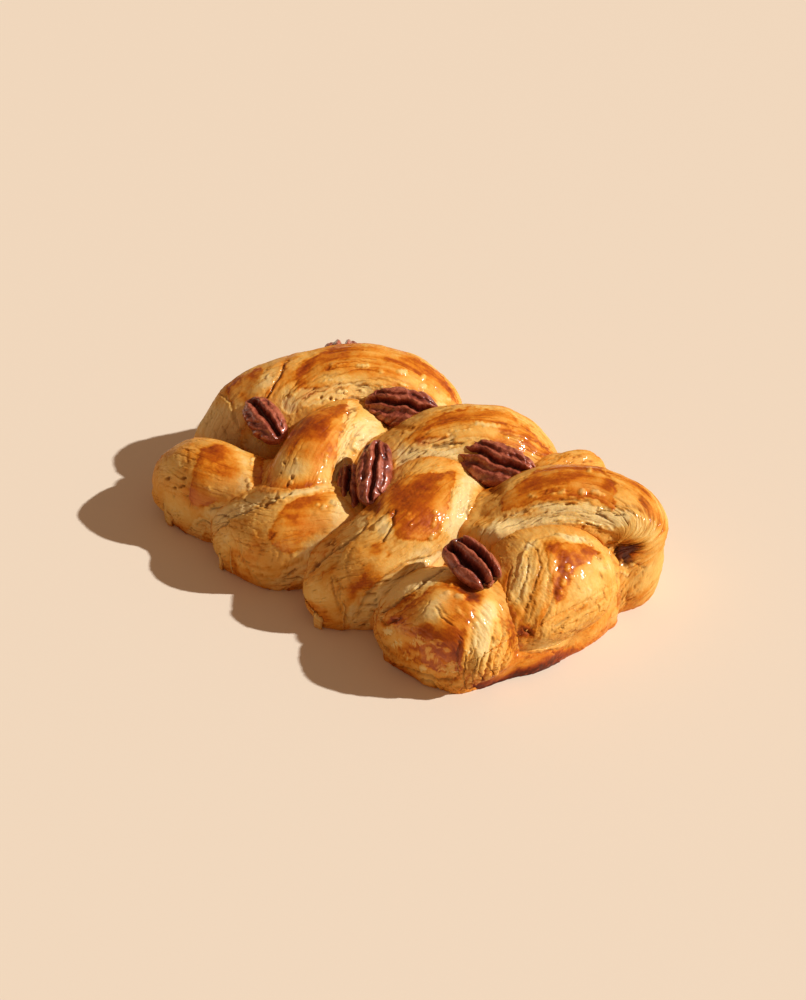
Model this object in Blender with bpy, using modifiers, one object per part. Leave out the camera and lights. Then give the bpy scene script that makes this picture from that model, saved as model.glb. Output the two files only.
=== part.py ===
import math

import bmesh
import bpy
import numpy as np
from mathutils import Euler, Matrix, Vector, noise

# A pecan plait: one braided piece of flaky dough, with seven pecan halves and pieces baked into its top.
# Frame: +X runs along the plait, +Y across it and +Z up. The origin is under its middle, on the ground.

MM = 0.001

# Each strand is the part of the braid that shows between two crossings. Its sections follow its spine:
# (x, y, level of the widest point, half width, height of the crest above that level), in millimetres.
STRANDS = {
    "far_end": [(-61, -15, 6, 10, 8), (-60, -11, 11, 10.5, 10), (-57, -3.5, 17.5, 11, 12.5),
                (-53, 4.5, 21, 11, 12), (-49, 10, 20.5, 10, 11)],
    "front_1": [(-57, -32, 6, 11, 9), (-54.5, -31.5, 11, 11.5, 11), (-47, -31.6, 14, 11.8, 11.5),
                (-38.3, -29, 13.5, 11.5, 11), (-27, -20.5, 11, 10.5, 10)],
    "front_2": [(-28.3, -34, 5, 12, 9), (-25.5, -33.8, 10.5, 12.6, 9.8), (-16.5, -32, 13.5, 13.4, 11.5),
                (-8.5, -24.5, 15, 11.2, 11), (-1.5, -14.5, 13, 8.5, 9)],
    "front_3": [(6.3, -33.5, 4, 12, 9), (9, -32.3, 10.5, 12.2, 11), (15.2, -26, 16, 12.7, 12.5),
                (16.5, -13, 19.6, 14, 13), (15, -1.5, 20.5, 14.5, 12), (17.5, 8, 16, 12.5, 10.5)],
    "front_4": [(31.5, -32, 5, 11, 9), (36.5, -31, 11, 13, 11.3), (44.2, -29, 14, 15.8, 12.3),
                (49.6, -28.2, 14, 14.6, 12), (52.4, -28, 9.5, 12.6, 11)],
    "middle": [(-17, -30, 8, 9, 10), (-18.5, -25, 14, 10, 12.5), (-21.5, -16, 19, 11, 14),
               (-24, -6, 20.5, 11, 14), (-24, 3, 19.5, 11, 12.5), (-22.5, 10, 15, 11, 10)],
    "back_1": [(-46, -5, 14, 12, 12), (-46, 4, 19, 14, 14), (-42, 15.5, 22, 15.5, 14.2),
               (-33.5, 25, 21.5, 15, 14), (-25, 31, 17, 14, 13.2), (-20, 34, 10, 12.5, 11.2)],
    "back_2": [(-6, -8, 12, 10, 11), (-3, 3, 19, 12, 13), (3, 14.3, 22.7, 14, 14), (11, 24, 22.3, 14, 14),
               (17.5, 30.5, 16.5, 14, 12.5), (21, 33.5, 8, 13, 10)],
    "back_3": [(32, -4, 12, 10, 11), (36, 5, 19, 12, 13), (42, 14.5, 22, 14, 14), (50.5, 22, 21.5, 14, 14),
               (60, 25.5, 18.3, 11.8, 13.7), (58.6, 17.2, 9, 8.4, 9.5)],
    "near_end": [(45, 1, 15.5, 12, 9.5), (52, -1.2, 17.8, 16, 12), (58.5, -3.2, 16, 19, 12),
                 (62.3, -3.9, 12, 18.5, 9.5)],
    "tail": [(-62, 12, 5, 9, 9), (-58, 18, 8, 10, 10), (-52, 26, 7, 10, 10)],
    "turn_1": [(-17, 33, 5, 10, 8), (-15, 31, 9, 10, 10), (-10, 25, 11, 10, 10), (-6, 18, 11, 9, 9)],
    "turn_2": [(33.5, 38, 6, 6, 9), (33.3, 36.5, 15, 5, 11.7), (31.5, 31, 17, 6, 11.5), (31, 22, 15, 7, 10)],
    "sole": [(48, -30.3, 3, 9, 6), (54, -23.8, 3.6, 8, 6), (58.2, -15.3, 3.3, 7, 5), (60.6, -5.8, 3, 6, 4),
             (61.2, 3, 3, 5.6, 4), (63, 12, 3, 5.2, 4)],
    "core": [(-56, -8, 5, 14, 9), (-25, -3, 6, 30, 10), (5, -3, 6, 33, 11), (35, -2, 6, 32, 10),
             (54, -2, 5, 22, 9)],
}
MIDDLE = (0.47, 0.91)  # where the middle of the plait falls among the sections and pecans, in millimetres
SUNK = 5.0  # how far a strand runs below the ground before its flat base is cut, in millimetres
CREST_ROUNDNESS, FLANK_ROUNDNESS = 2.4, 3.0  # exponents of the section above and below its widest point
END_ROUNDNESS = 0.8  # length of a strand's rounded end, as a share of its half width or height
CROWDING = 0.65  # how far a strand's rings crowd towards its ends, from 0 to 1

# The folded layers show as long ridges: the ridges round a strand, their depth in millimetres and how far
# they spread from its flanks over its crest, from 0 to 1.
FOLDS = {"near_end": (12, 1.6, 1.0), "front_4": (15, 1.1, 0.5)}
PLAIN_FOLDS = (15, 1.0, 0.15)
FLANK_FOLDS = 1.4  # how soon the ridges reach their full depth below the crest
FOLD_TWIST, FOLD_DRIFT = 3.0, 2.5  # how far the ridges wind from end to end and wander, in radians
LUMP_DEPTH, LUMP_SIZE = 0.6, 11.0  # the uneven swelling of the dough, in millimetres

# Pecans: the middle (x, y, z) in millimetres, the turn (heading, pitch, roll) in degrees, the size
# (length, width, thickness) in millimetres and the long grooves, as shares of the half width.
PECANS = {
    "pecan_1": [(-42.3, -13, 28), (-15, -8, 25), (19, 10.5, 8), (0.0,)],
    "pecan_2": [(-15.5, 16.5, 30), (29, 0, 35), (22.5, 12.5, 8.5), (0.0,)],
    "pecan_3": [(-0.6, -11, 29.5), (127, 18, -5), (22, 10.5, 8.5), (0.0,)],
    "pecan_4": [(-5.7, -16.1, 23.7), (133, 19, -8), (18, 7, 6.5), (0.0,)],
    "pecan_5": [(22.3, 14.2, 30.0), (17, -4, 30), (25, 13.5, 9), (0.0,)],
    "pecan_6": [(44.8, -21.2, 28.8), (-10, -8, 10), (18, 11.5, 8), (-0.36, 0.36)],
    "pecan_7": [(-51, 28, 27.3), (133, -25, 0), (18, 12, 8), (0.0,)],
}
PLAN_ROUNDNESS, SIDE_ROUNDNESS, TOP_ROUNDNESS = 0.85, 0.7, 0.9  # exponents of a pecan's three outlines
GROOVE_DEPTH, GROOVE_WIDTH = 0.42, 0.16  # as shares of the half thickness and of the half width
WRINKLE_PITCH, WRINKLE_DEPTH = 3.4, 0.28  # the cross wrinkles of a pecan's lobes, in millimetres
WRINKLE_SWEEP = 0.6  # how far a wrinkle sweeps back from the groove to the rim, in wrinkles
GAP = 0.5  # clearance between a pecan and the plain hull of its pocket in the dough, in millimetres

STRAND_SEGMENTS, STRAND_RINGS = 96, 72
PECAN_SEGMENTS, PECAN_RINGS = 20, 13
VOXEL = 0.8  # grain of the skin that closes the strands into one dough, in millimetres
POCKET_SEGMENTS, POCKET_RINGS = 14, 9
DOUGH_TRIANGLES = 10600  # before the base and the pockets are cut
CREASE_ANGLE = 50  # edges sharper than this stay sharp in the shading, in degrees


def new_collection(name):
    group = bpy.data.collections.new(name)
    bpy.context.scene.collection.children.link(group)
    return group


def file_in(obj, group):
    for other in list(obj.users_collection):
        other.objects.unlink(obj)
    group.objects.link(obj)


def material(name, colour, roughness):
    made = bpy.data.materials.new(name)
    made.use_nodes = True
    shader = made.node_tree.nodes["Principled BSDF"]
    shader.inputs["Base Color"].default_value = (*colour, 1)
    shader.inputs["Roughness"].default_value = roughness
    shader.inputs["Metallic"].default_value = 0
    made.diffuse_color = (*colour, 1)
    return made


def sphere(name, segments, rings):
    """A unit sphere with its poles on Z, whose rings are then laid out along a strand or a pecan."""
    bpy.ops.mesh.primitive_uv_sphere_add(segments=segments, ring_count=rings, radius=1)
    obj = bpy.context.object
    obj.name = name
    return obj


def points_of(obj):
    points = np.empty(len(obj.data.vertices) * 3)
    obj.data.vertices.foreach_get("co", points)
    return points.reshape(-1, 3)


def move_points(obj, points):
    obj.data.vertices.foreach_set("co", points.ravel())
    obj.data.update()


def unit(vectors):
    return vectors / np.linalg.norm(vectors, axis=1)[:, None]


def smooth_rows(rows, steps=400):
    """Rows of numbers joined by a smooth curve through all of them."""
    rows = np.array(rows, float)
    ends = np.vstack([2 * rows[0] - rows[1], rows, 2 * rows[-1] - rows[-2]])
    place = np.linspace(0, len(rows) - 1, steps)
    first = np.minimum(place.astype(int), len(rows) - 2)
    t = (place - first)[:, None]
    a, b, c, d = (ends[first + k] for k in range(4))
    return 0.5 * (2 * b + (c - a) * t + (2 * a - 5 * b + 4 * c - d) * t**2 + (3 * b - a - 3 * c + d) * t**3)


def power(values, exponent):
    """The odd power that squares up a sine or cosine."""
    return np.sign(values) * np.abs(values) ** exponent


def lumps(points, offset):
    """Slow noise between -1 and 1 at each point."""
    return np.array([noise.noise(Vector(p) / LUMP_SIZE + Vector((offset, 0, 0))) for p in points])


def strand(name, sections, offset):
    """One strand: each ring of a sphere becomes a rounded section across the spine."""
    obj = sphere(name, STRAND_SEGMENTS, STRAND_RINGS)
    ball = points_of(obj)
    along = np.arccos(np.clip(ball[:, 2], -1, 1)) / math.pi
    turn = np.arctan2(ball[:, 1], ball[:, 0])

    rows = smooth_rows(sections)
    spine = rows[:, :3]
    arc = np.concatenate([[0], np.cumsum(np.linalg.norm(np.diff(spine, axis=0), axis=1))])
    ends = [END_ROUNDNESS * min(row[3], row[4]) for row in (rows[0], rows[-1])]
    crowded = (1 - CROWDING) * along + CROWDING * (1 - np.cos(math.pi * along)) / 2
    walk = crowded * (arc[-1] + sum(ends)) - ends[0]
    station = np.clip(walk, 0, arc[-1])
    beyond = walk - station
    taper = np.sqrt(np.clip(1 - (beyond / np.where(beyond < 0, ends[0], ends[1])) ** 2, 0, 1))

    heading = unit(np.gradient(spine, arc, axis=0))
    level = unit(heading * (1, 1, 0))
    place, ahead, flat = (
        np.stack([np.interp(station, arc, table[:, k]) for k in range(table.shape[1])], 1)
        for table in (rows, heading, level)
    )
    ahead, flat = unit(ahead), unit(flat)
    aside = np.cross(flat, (0, 0, 1))
    upright = np.cross(aside, ahead)

    above = np.sin(turn) >= 0
    exponent = 2 / np.where(above, CREST_ROUNDNESS, FLANK_ROUNDNESS)
    across = power(np.cos(turn), exponent) * place[:, 3] * taper
    rise = power(np.sin(turn), exponent) * taper
    points = place[:, :3] + beyond[:, None] * ahead + across[:, None] * aside
    points += np.where(above[:, None], (rise * place[:, 4])[:, None] * upright,
                       (rise * (place[:, 2] + SUNK))[:, None] * np.array((0, 0, 1)))
    outward = unit(aside * np.cos(turn)[:, None] + upright * np.sin(turn)[:, None])
    ridges, depth, spread = FOLDS.get(name, PLAIN_FOLDS)
    flank = np.clip(spread + FLANK_FOLDS * np.cos(turn) ** 2, 0, 1)
    drift = lumps(points, offset)
    wave = np.cos(ridges * turn + FOLD_TWIST * along + FOLD_DRIFT * drift)
    fold = flank * depth * (1 + wave) / 2
    points += outward * (taper * (LUMP_DEPTH * drift - fold))[:, None]
    move_points(obj, points * MM)
    return obj


def join(objects):
    bpy.ops.object.select_all(action="DESELECT")
    for obj in objects:
        obj.select_set(True)
    bpy.context.view_layer.objects.active = objects[0]
    bpy.ops.object.join()
    return objects[0]


def apply_modifier(obj, kind, **settings):
    modifier = obj.modifiers.new(kind.title(), kind)
    for key, value in settings.items():
        setattr(modifier, key, value)
    bpy.context.view_layer.objects.active = obj
    bpy.ops.object.modifier_apply(modifier=modifier.name)


def cut(obj, cutter):
    apply_modifier(obj, "BOOLEAN", object=cutter, operation="DIFFERENCE", solver="EXACT")
    bpy.data.objects.remove(cutter)


def ground_block():
    """The space below the ground, which cuts the flat base."""
    side, depth = 400 * MM, 20 * MM
    bpy.ops.mesh.primitive_cube_add(size=1, location=(0, 0, -depth / 2), scale=(side, side, depth))
    block = bpy.context.object
    bpy.ops.object.transform_apply(location=True, rotation=True, scale=True)
    return block


def triangulate(obj):
    work = bmesh.new()
    work.from_mesh(obj.data)
    bmesh.ops.triangulate(work, faces=work.faces)
    work.to_mesh(obj.data)
    work.free()


def drop_scraps(obj):
    """Keeps the largest piece of a mesh, in case a cut has left a loose scrap beside it."""
    work = bmesh.new()
    work.from_mesh(obj.data)
    left = set(work.verts)
    pieces = []
    while left:
        piece, edge = set(), [left.pop()]
        while edge:
            vert = edge.pop()
            piece.add(vert)
            near = {e.other_vert(vert) for e in vert.link_edges} & left
            left -= near
            edge.extend(near)
        pieces.append(piece)
    pieces.sort(key=len)
    for piece in pieces[:-1]:
        bmesh.ops.delete(work, geom=list(piece), context="VERTS")
    work.to_mesh(obj.data)
    work.free()


def dough(pockets):
    """The braid: all strands closed into one skin, with a flat base and a pocket for each pecan."""
    strands = [strand(name, rows, 7.0 * k) for k, (name, rows) in enumerate(STRANDS.items())]
    obj = join(strands)
    obj.name = obj.data.name = "plait"
    apply_modifier(obj, "REMESH", mode="VOXEL", voxel_size=VOXEL * MM)
    apply_modifier(obj, "SMOOTH", factor=0.5, iterations=1)
    triangulate(obj)
    apply_modifier(obj, "DECIMATE", ratio=DOUGH_TRIANGLES / len(obj.data.polygons))
    cut(obj, ground_block())
    for pocket in pockets:
        cut(obj, pocket)
    triangulate(obj)
    drop_scraps(obj)
    return obj


def pecan(name, middle, turns, size, grooves):
    """A pecan half: a long dome with long grooves and cross wrinkles. With no grooves it is its plain hull."""
    obj = sphere(name, *((PECAN_SEGMENTS, PECAN_RINGS) if grooves else (POCKET_SEGMENTS, POCKET_RINGS)))
    ball = points_of(obj)
    length, width, thickness = size
    end = np.clip(ball[:, 2], -1, 1)
    round_off = np.sqrt(1 - end**2)
    turn = np.arctan2(ball[:, 1], ball[:, 0])
    x = length / 2 * end
    y = width / 2 * round_off**PLAN_ROUNDNESS * np.cos(turn)
    top = thickness / 2 * round_off**SIDE_ROUNDNESS * power(np.sin(turn), TOP_ROUNDNESS)
    share = y / (width / 2)
    for groove in grooves:
        nearness = np.exp(-(((share - groove) / GROOVE_WIDTH) ** 2))
        top -= np.where(np.sin(turn) > 0, GROOVE_DEPTH * thickness / 2 * nearness * round_off, 0)
    wrinkle = np.sin(2 * math.pi * (x / WRINKLE_PITCH + WRINKLE_SWEEP * np.abs(share))) - 1
    if grooves:
        top += np.where(np.sin(turn) > 0, WRINKLE_DEPTH * wrinkle * round_off * np.abs(share) ** 0.5, 0)
    move_points(obj, np.stack([x, y, top], 1) * MM)
    heading, pitch, roll = (math.radians(angle) for angle in turns)
    facing = Euler((roll, -pitch, heading), "XYZ").to_matrix().to_4x4()
    obj.data.transform(Matrix.Translation(Vector(middle) * MM) @ facing)
    work = bmesh.new()
    work.from_mesh(obj.data)
    bmesh.ops.recalc_face_normals(work, faces=work.faces)
    work.to_mesh(obj.data)
    work.free()
    return obj


def build():
    for obj in list(bpy.data.objects):
        bpy.data.objects.remove(obj)
    group = new_collection("pecan_plait")
    crust = material("golden_crust", (0.60, 0.29, 0.08), 0.42)
    nut = material("toasted_pecan", (0.12, 0.028, 0.012), 0.35)
    pockets = [
        pecan(name + "_pocket", middle, turns, [side + 2 * GAP for side in size], ())
        for name, (middle, turns, size, grooves) in PECANS.items()
    ]
    body = dough(pockets)
    body.data.materials.append(crust)
    file_in(body, group)
    for name, shape in PECANS.items():
        kernel = pecan(name, *shape)
        kernel.data.materials.append(nut)
        file_in(kernel, group)
    for obj in group.objects:
        obj.data.transform(Matrix.Translation((-MIDDLE[0] * MM, -MIDDLE[1] * MM, 0)))
        obj.data.shade_smooth()
        obj.data.set_sharp_from_angle(angle=math.radians(CREASE_ANGLE))


build()
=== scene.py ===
import math
from itertools import product
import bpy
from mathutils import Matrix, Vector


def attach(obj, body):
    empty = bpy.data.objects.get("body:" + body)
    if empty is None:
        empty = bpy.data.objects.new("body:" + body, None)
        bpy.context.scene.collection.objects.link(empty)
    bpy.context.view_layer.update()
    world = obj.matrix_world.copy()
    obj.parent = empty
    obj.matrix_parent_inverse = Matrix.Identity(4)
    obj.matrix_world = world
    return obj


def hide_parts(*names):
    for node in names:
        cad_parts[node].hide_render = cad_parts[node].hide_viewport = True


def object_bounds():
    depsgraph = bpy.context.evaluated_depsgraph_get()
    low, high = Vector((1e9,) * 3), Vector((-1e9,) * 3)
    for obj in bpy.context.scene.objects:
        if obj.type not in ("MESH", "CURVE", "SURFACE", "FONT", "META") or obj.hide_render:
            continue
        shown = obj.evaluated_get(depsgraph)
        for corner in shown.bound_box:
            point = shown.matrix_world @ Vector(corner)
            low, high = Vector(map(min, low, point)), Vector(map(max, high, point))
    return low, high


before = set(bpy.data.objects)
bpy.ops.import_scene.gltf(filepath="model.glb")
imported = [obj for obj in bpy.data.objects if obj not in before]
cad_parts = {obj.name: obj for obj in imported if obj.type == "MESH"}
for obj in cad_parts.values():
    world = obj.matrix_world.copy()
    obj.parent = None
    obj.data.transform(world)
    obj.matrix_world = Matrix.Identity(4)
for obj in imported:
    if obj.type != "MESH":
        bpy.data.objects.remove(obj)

from types import SimpleNamespace

import bpy
import numpy as np
from mathutils import Euler, Matrix, Vector
from mathutils.bvhtree import BVHTree

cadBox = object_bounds()
mm = 0.001
middle = (0.47, 0.91)  # the middle of the plait, in the millimetres that the strands are laid out in
print("frame loaded")

photo = {
    "width": 806, "height": 1000,
    "focal": 2200,  # in the photo's pixels
    "azimuth": 43, "elevation": 38,
    "target": (-middle[0], -middle[1], 14.0),  # mm
    "distance": 628.6,  # mm
}


def photoAxes():
    # the directions to the right and up in the photo, and back to its camera
    azimuth, elevation = math.radians(photo["azimuth"]), math.radians(photo["elevation"])
    level = math.cos(elevation)
    back = np.array((math.sin(azimuth) * level, -math.cos(azimuth) * level, math.sin(elevation)))
    right = np.array((math.cos(azimuth), math.sin(azimuth), 0.0))
    return right, np.cross(back, right), back


def inPhoto(points):
    # where points in mm fall in the photo, in its pixels
    right, up, back = photoAxes()
    ray = points - (np.array(photo["target"]) + back * photo["distance"])
    away = -(ray @ back)
    x = photo["width"] / 2 + photo["focal"] * (ray @ right) / away
    y = photo["height"] / 2 - photo["focal"] * (ray @ up) / away
    return np.stack([x, y], 1)


# noise from slopes at whole places, as in gradient noise
rippling = {
    "seed": 11, "table": 256,
    "seedStep": (7.31, 3.17, 5.71), "start": 500,  # how far each seed moves it, and from where
    "gain": 1.7,  # brings it to about -1 to 1
}
draw = np.random.default_rng(rippling["seed"])
shuffled = np.tile(draw.permutation(rippling["table"]), 3).astype(np.int32)
slopes = draw.normal(size=(rippling["table"], 3))
slopes = (slopes / np.linalg.norm(slopes, axis=1)[:, None]).T.astype(np.float32).copy()


def ripple(points, size, seed=0.0):
    # smooth noise, about -1 to 1, with bumps of the given size
    shift = seed * np.array(rippling["seedStep"]) + rippling["start"]
    cell = (np.asarray(points, float) / size + shift).T
    low = np.floor(cell)
    part = (cell - low).astype(np.float32)
    low = low.astype(np.int32) & (rippling["table"] - 1)
    ease = part**3 * (part * (part * 6 - 15) + 10)
    total = np.zeros(cell.shape[1], np.float32)
    for i, j in product((0, 1), repeat=2):
        column = shuffled[shuffled[low[0] + i] + low[1] + j] + low[2]
        side = (ease[0] if i else 1 - ease[0]) * (ease[1] if j else 1 - ease[1])
        for k in (0, 1):
            pick = shuffled[column + k]
            height = slopes[0][pick] * (part[0] - i) + slopes[1][pick] * (part[1] - j)
            height += slopes[2][pick] * (part[2] - k)
            total += side * (ease[2] if k else 1 - ease[2]) * height
    return total * rippling["gain"]


def cloud(points, size, octaves=3, seed=0.0):
    # noise with finer and finer bumps on it
    return sum(ripple(points, size / 2**k, seed + 1.7 * k) / 2**k for k in range(octaves)) / 1.5


def soft(low, high, values):
    # 0 at low, 1 at high, with a soft step between
    t = np.clip((values - low) / (high - low), 0, 1)
    return t * t * (3 - 2 * t)


def power(values, exponent):
    return np.sign(values) * np.abs(values) ** exponent


def unit(vectors):
    return vectors / np.maximum(np.linalg.norm(vectors, axis=1), 1e-9)[:, None]


def smoothRows(rows, steps=400):
    # rows of numbers joined by a smooth curve through all of them
    rows = np.array(rows, float)
    ends = np.vstack([2 * rows[0] - rows[1], rows, 2 * rows[-1] - rows[-2]])
    place = np.linspace(0, len(rows) - 1, steps)
    first = np.minimum(place.astype(int), len(rows) - 2)
    t = (place - first)[:, None]
    a, b, c, d = (ends[first + k] for k in range(4))
    return 0.5 * (2 * b + (c - a) * t + (2 * a - 5 * b + 4 * c - d) * t**2 + (3 * b - a - 3 * c + d) * t**3)


# how marks are drawn on the photo. An edge is where a mark starts and where it is full
drawing = {
    "facingEdge": (0.0, 0.2), "frontEdge": (0.12, 0.38),  # how squarely the skin faces the camera
    "fieldBend": (3.5, 2.2), "markBend": (1.8, 1.5),  # pixels by which slow and quick noise bend them
    "ovalEdge": (1.55, 0.25),  # in shares of its half sizes
    "lineEnd": 0.35, "lineUnevenness": 0.6, "thinnest": 0.2,  # share, share and pixels
    "lineEdge": (1.0, 0.2), "brimEdge": (2.6, 1.3),  # in half widths
    "pleatEdge": (-4, 6), "pleatStretch": 9,  # pixels, and how much longer than wide its waves are
    "hillGain": 1.7, "hillMiddle": 0.45, "valleyGain": 1.6, "valleyEdge": (0.16, 0.02),
    "pitEdge": (1.1, 0.2), "pitFlatness": 1.3,  # in radii
    "beadSpread": 0.7, "beadSizes": (0.75, 1.15), "beadEdge": 1.25, "beadFlatness": 2.2,
    "islandEdge": (1.0, 0.85), "islandSpikes": 1.5, "islandFlatness": 1.2,  # in radii
}


def ovals(seen, marks):
    total = np.zeros(len(seen))
    for x, y, halfLength, halfWidth, tilt, amount in marks:
        c, s = math.cos(math.radians(tilt)), math.sin(math.radians(tilt))
        dx, dy = seen[:, 0] - x, seen[:, 1] - y
        reach = np.hypot((dx * c + dy * s) / halfLength, (dy * c - dx * s) / halfWidth)
        total += amount * soft(*drawing["ovalEdge"], reach)
    return total


def fromLine(seen, line):
    # distance in the photo's pixels from a line drawn through some points, and how far along it, 0 to 1
    line = np.array(line, float)
    lengths = np.linalg.norm(np.diff(line, axis=0), axis=1)
    starts = np.concatenate([[0], np.cumsum(lengths)])
    near, share = np.full(len(seen), 1e9), np.zeros(len(seen))
    for start, length, a, b in zip(starts, lengths, line, line[1:]):
        run = b - a
        t = np.clip(((seen - a) @ run) / (run @ run), 0, 1)
        gap = np.linalg.norm(seen - a - t[:, None] * run, axis=1)
        share = np.where(gap < near, (start + t * length) / starts[-1], share)
        near = np.minimum(near, gap)
    return near, share


def within(seen, outline):
    # distance in pixels inside an outline on the photo, negative outside it
    corners = np.array(outline, float)
    x, y = seen.T
    odd = np.zeros(len(seen), bool)
    for (ax, ay), (bx, by) in zip(corners, np.roll(corners, -1, 0)):
        crosses = (ay > y) != (by > y)
        odd ^= crosses & (x < (bx - ax) * (y - ay) / (by - ay + 1e-9) + ax)
    return np.where(odd, 1, -1) * fromLine(seen, [*outline, outline[0]])[0]


def insideAny(seen, outlines):
    inside = np.full(len(seen), -60.0)
    for outline in outlines:
        inside = np.maximum(inside, within(seen, outline))
    return inside


def insideBands(seen, bands):
    # distance in pixels inside bands of a half width along lines, negative outside them
    inside = np.full(len(seen), -60.0)
    for line, halfWidth in bands:
        inside = np.maximum(inside, halfWidth - fromLine(seen, line)[0])
    return inside


def strokes(seen, marks, wobble):
    # lines that narrow towards their ends: their hollows and their brims
    core, brim = np.zeros(len(seen)), np.zeros(len(seen))
    for line, halfWidth, strength in marks:
        near, share = fromLine(seen, line)
        narrow = drawing["lineEnd"]
        width = halfWidth * (narrow + (1 - narrow) * np.sqrt(np.clip(4 * share * (1 - share), 0, 1)))
        width = np.maximum(width * (1 + drawing["lineUnevenness"] * wobble), drawing["thinnest"])
        outer, inner = drawing["lineEdge"]
        core = np.maximum(core, strength * soft(width * outer, width * inner, near))
        outer, inner = drawing["brimEdge"]
        brim = np.maximum(brim, strength * soft(width * outer, width * inner, near))
    return core, np.clip(brim - core, 0, 1)


def pleatsAt(seen, marks, seed):
    # irregular folds: their rounded hills and their sharp valleys
    hills, valleys = np.zeros(len(seen)), np.zeros(len(seen))
    for outline, angle, pitch, bow, depth in marks:
        inside = soft(*drawing["pleatEdge"], within(seen, outline))
        c, s = math.cos(math.radians(angle)), math.sin(math.radians(angle))
        dx, dy = (seen - np.mean(outline, axis=0)).T
        u, v = dx * c + dy * s, dy * c - dx * s
        path = np.stack([u / drawing["pleatStretch"], v + bow * u * u / 100, np.zeros(len(u))], 1)
        wave = np.abs(ripple(path, pitch, seed) + 0.3 * ripple(path, pitch * 0.45, seed + 1))
        hills += inside * depth * (np.minimum(wave * drawing["hillGain"], 1) - drawing["hillMiddle"])
        valley = min(1, depth * drawing["valleyGain"]) * soft(*drawing["valleyEdge"], wave)
        valleys = np.maximum(valleys, inside * valley)
    return hills, valleys


def pitsAt(seen, marks, jitter):
    total = np.zeros(len(seen))
    outer, inner = drawing["pitEdge"]
    for x, y, radius in marks:
        reach = np.hypot(seen[:, 0] - x, (seen[:, 1] - y) * drawing["pitFlatness"]) + 1.6 * jitter
        total = np.maximum(total, soft(radius * outer, radius * inner, reach))
    return total


def beadsAt(seen, rows, seed):
    # small domes of syrup, spread a little unevenly along each row
    chance = np.random.default_rng(int(seed) + 5)
    total = np.zeros(len(seen))
    for ax, ay, bx, by, count, radius in rows:
        for k in range(count):
            t = (k + 0.5) / count
            x = ax + (bx - ax) * t + chance.normal(0, drawing["beadSpread"])
            y = ay + (by - ay) * t + chance.normal(0, drawing["beadSpread"])
            size = radius * chance.uniform(*drawing["beadSizes"])
            reach = np.hypot(seen[:, 0] - x, seen[:, 1] - y) / (size * drawing["beadEdge"])
            dome = np.sqrt(np.clip(1 - reach**2, 0, 1)) * size / drawing["beadFlatness"]
            total = np.maximum(total, dome)
    return total


def islandsAt(seen, marks, spiky):
    # ragged flakes that stand up from the crust, with points like stars
    total = np.zeros(len(seen))
    outer, inner = drawing["islandEdge"]
    for x, y, radius in marks:
        reach = np.hypot(seen[:, 0] - x, (seen[:, 1] - y) * drawing["islandFlatness"])
        reach += (spiky - 0.25) * radius * drawing["islandSpikes"]
        total = np.maximum(total, soft(radius * outer, radius * inner, reach))
    return total


def ball(name, segments, rings, cuts):
    # a sphere whose faces are cut into finer ones
    bpy.ops.object.select_all(action="DESELECT")
    bpy.ops.mesh.primitive_uv_sphere_add(segments=segments, ring_count=rings, radius=1)
    obj = bpy.context.object
    obj.name = obj.data.name = name
    bpy.ops.object.mode_set(mode="EDIT")
    bpy.ops.mesh.select_all(action="SELECT")
    bpy.ops.mesh.subdivide(number_cuts=cuts, smoothness=0)
    bpy.ops.object.mode_set(mode="OBJECT")
    movePoints(obj, unit(pointsOf(obj)))
    return obj


def pointsOf(obj):
    points = np.empty(len(obj.data.vertices) * 3)
    obj.data.vertices.foreach_get("co", points)
    return points.reshape(-1, 3)


def normalsOf(obj):
    normals = np.empty(len(obj.data.vertices) * 3)
    obj.data.vertices.foreach_get("normal", normals)
    return normals.reshape(-1, 3)


def movePoints(obj, points):
    obj.data.vertices.foreach_set("co", points.ravel())
    obj.data.update()


def paint(obj, name, values):
    # an attribute of the mesh that its material reads
    layer = obj.data.attributes.new(name, "FLOAT", "POINT")
    layer.data.foreach_set("value", values.astype(np.float32))


def layOutUv(obj, flat):
    # UV from two lengths in mm at each point, a metre across
    corners = np.empty(len(obj.data.loops), int)
    obj.data.loops.foreach_get("vertex_index", corners)
    obj.data.uv_layers.active.data.foreach_set("uv", (flat[corners] * mm).astype(np.float32).ravel())


def finishPiece(obj, material, slot, *nodes):
    obj.data.materials.append(material)
    obj.data.shade_smooth()
    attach(obj, "root")
    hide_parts(*nodes)
    return obj


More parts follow.
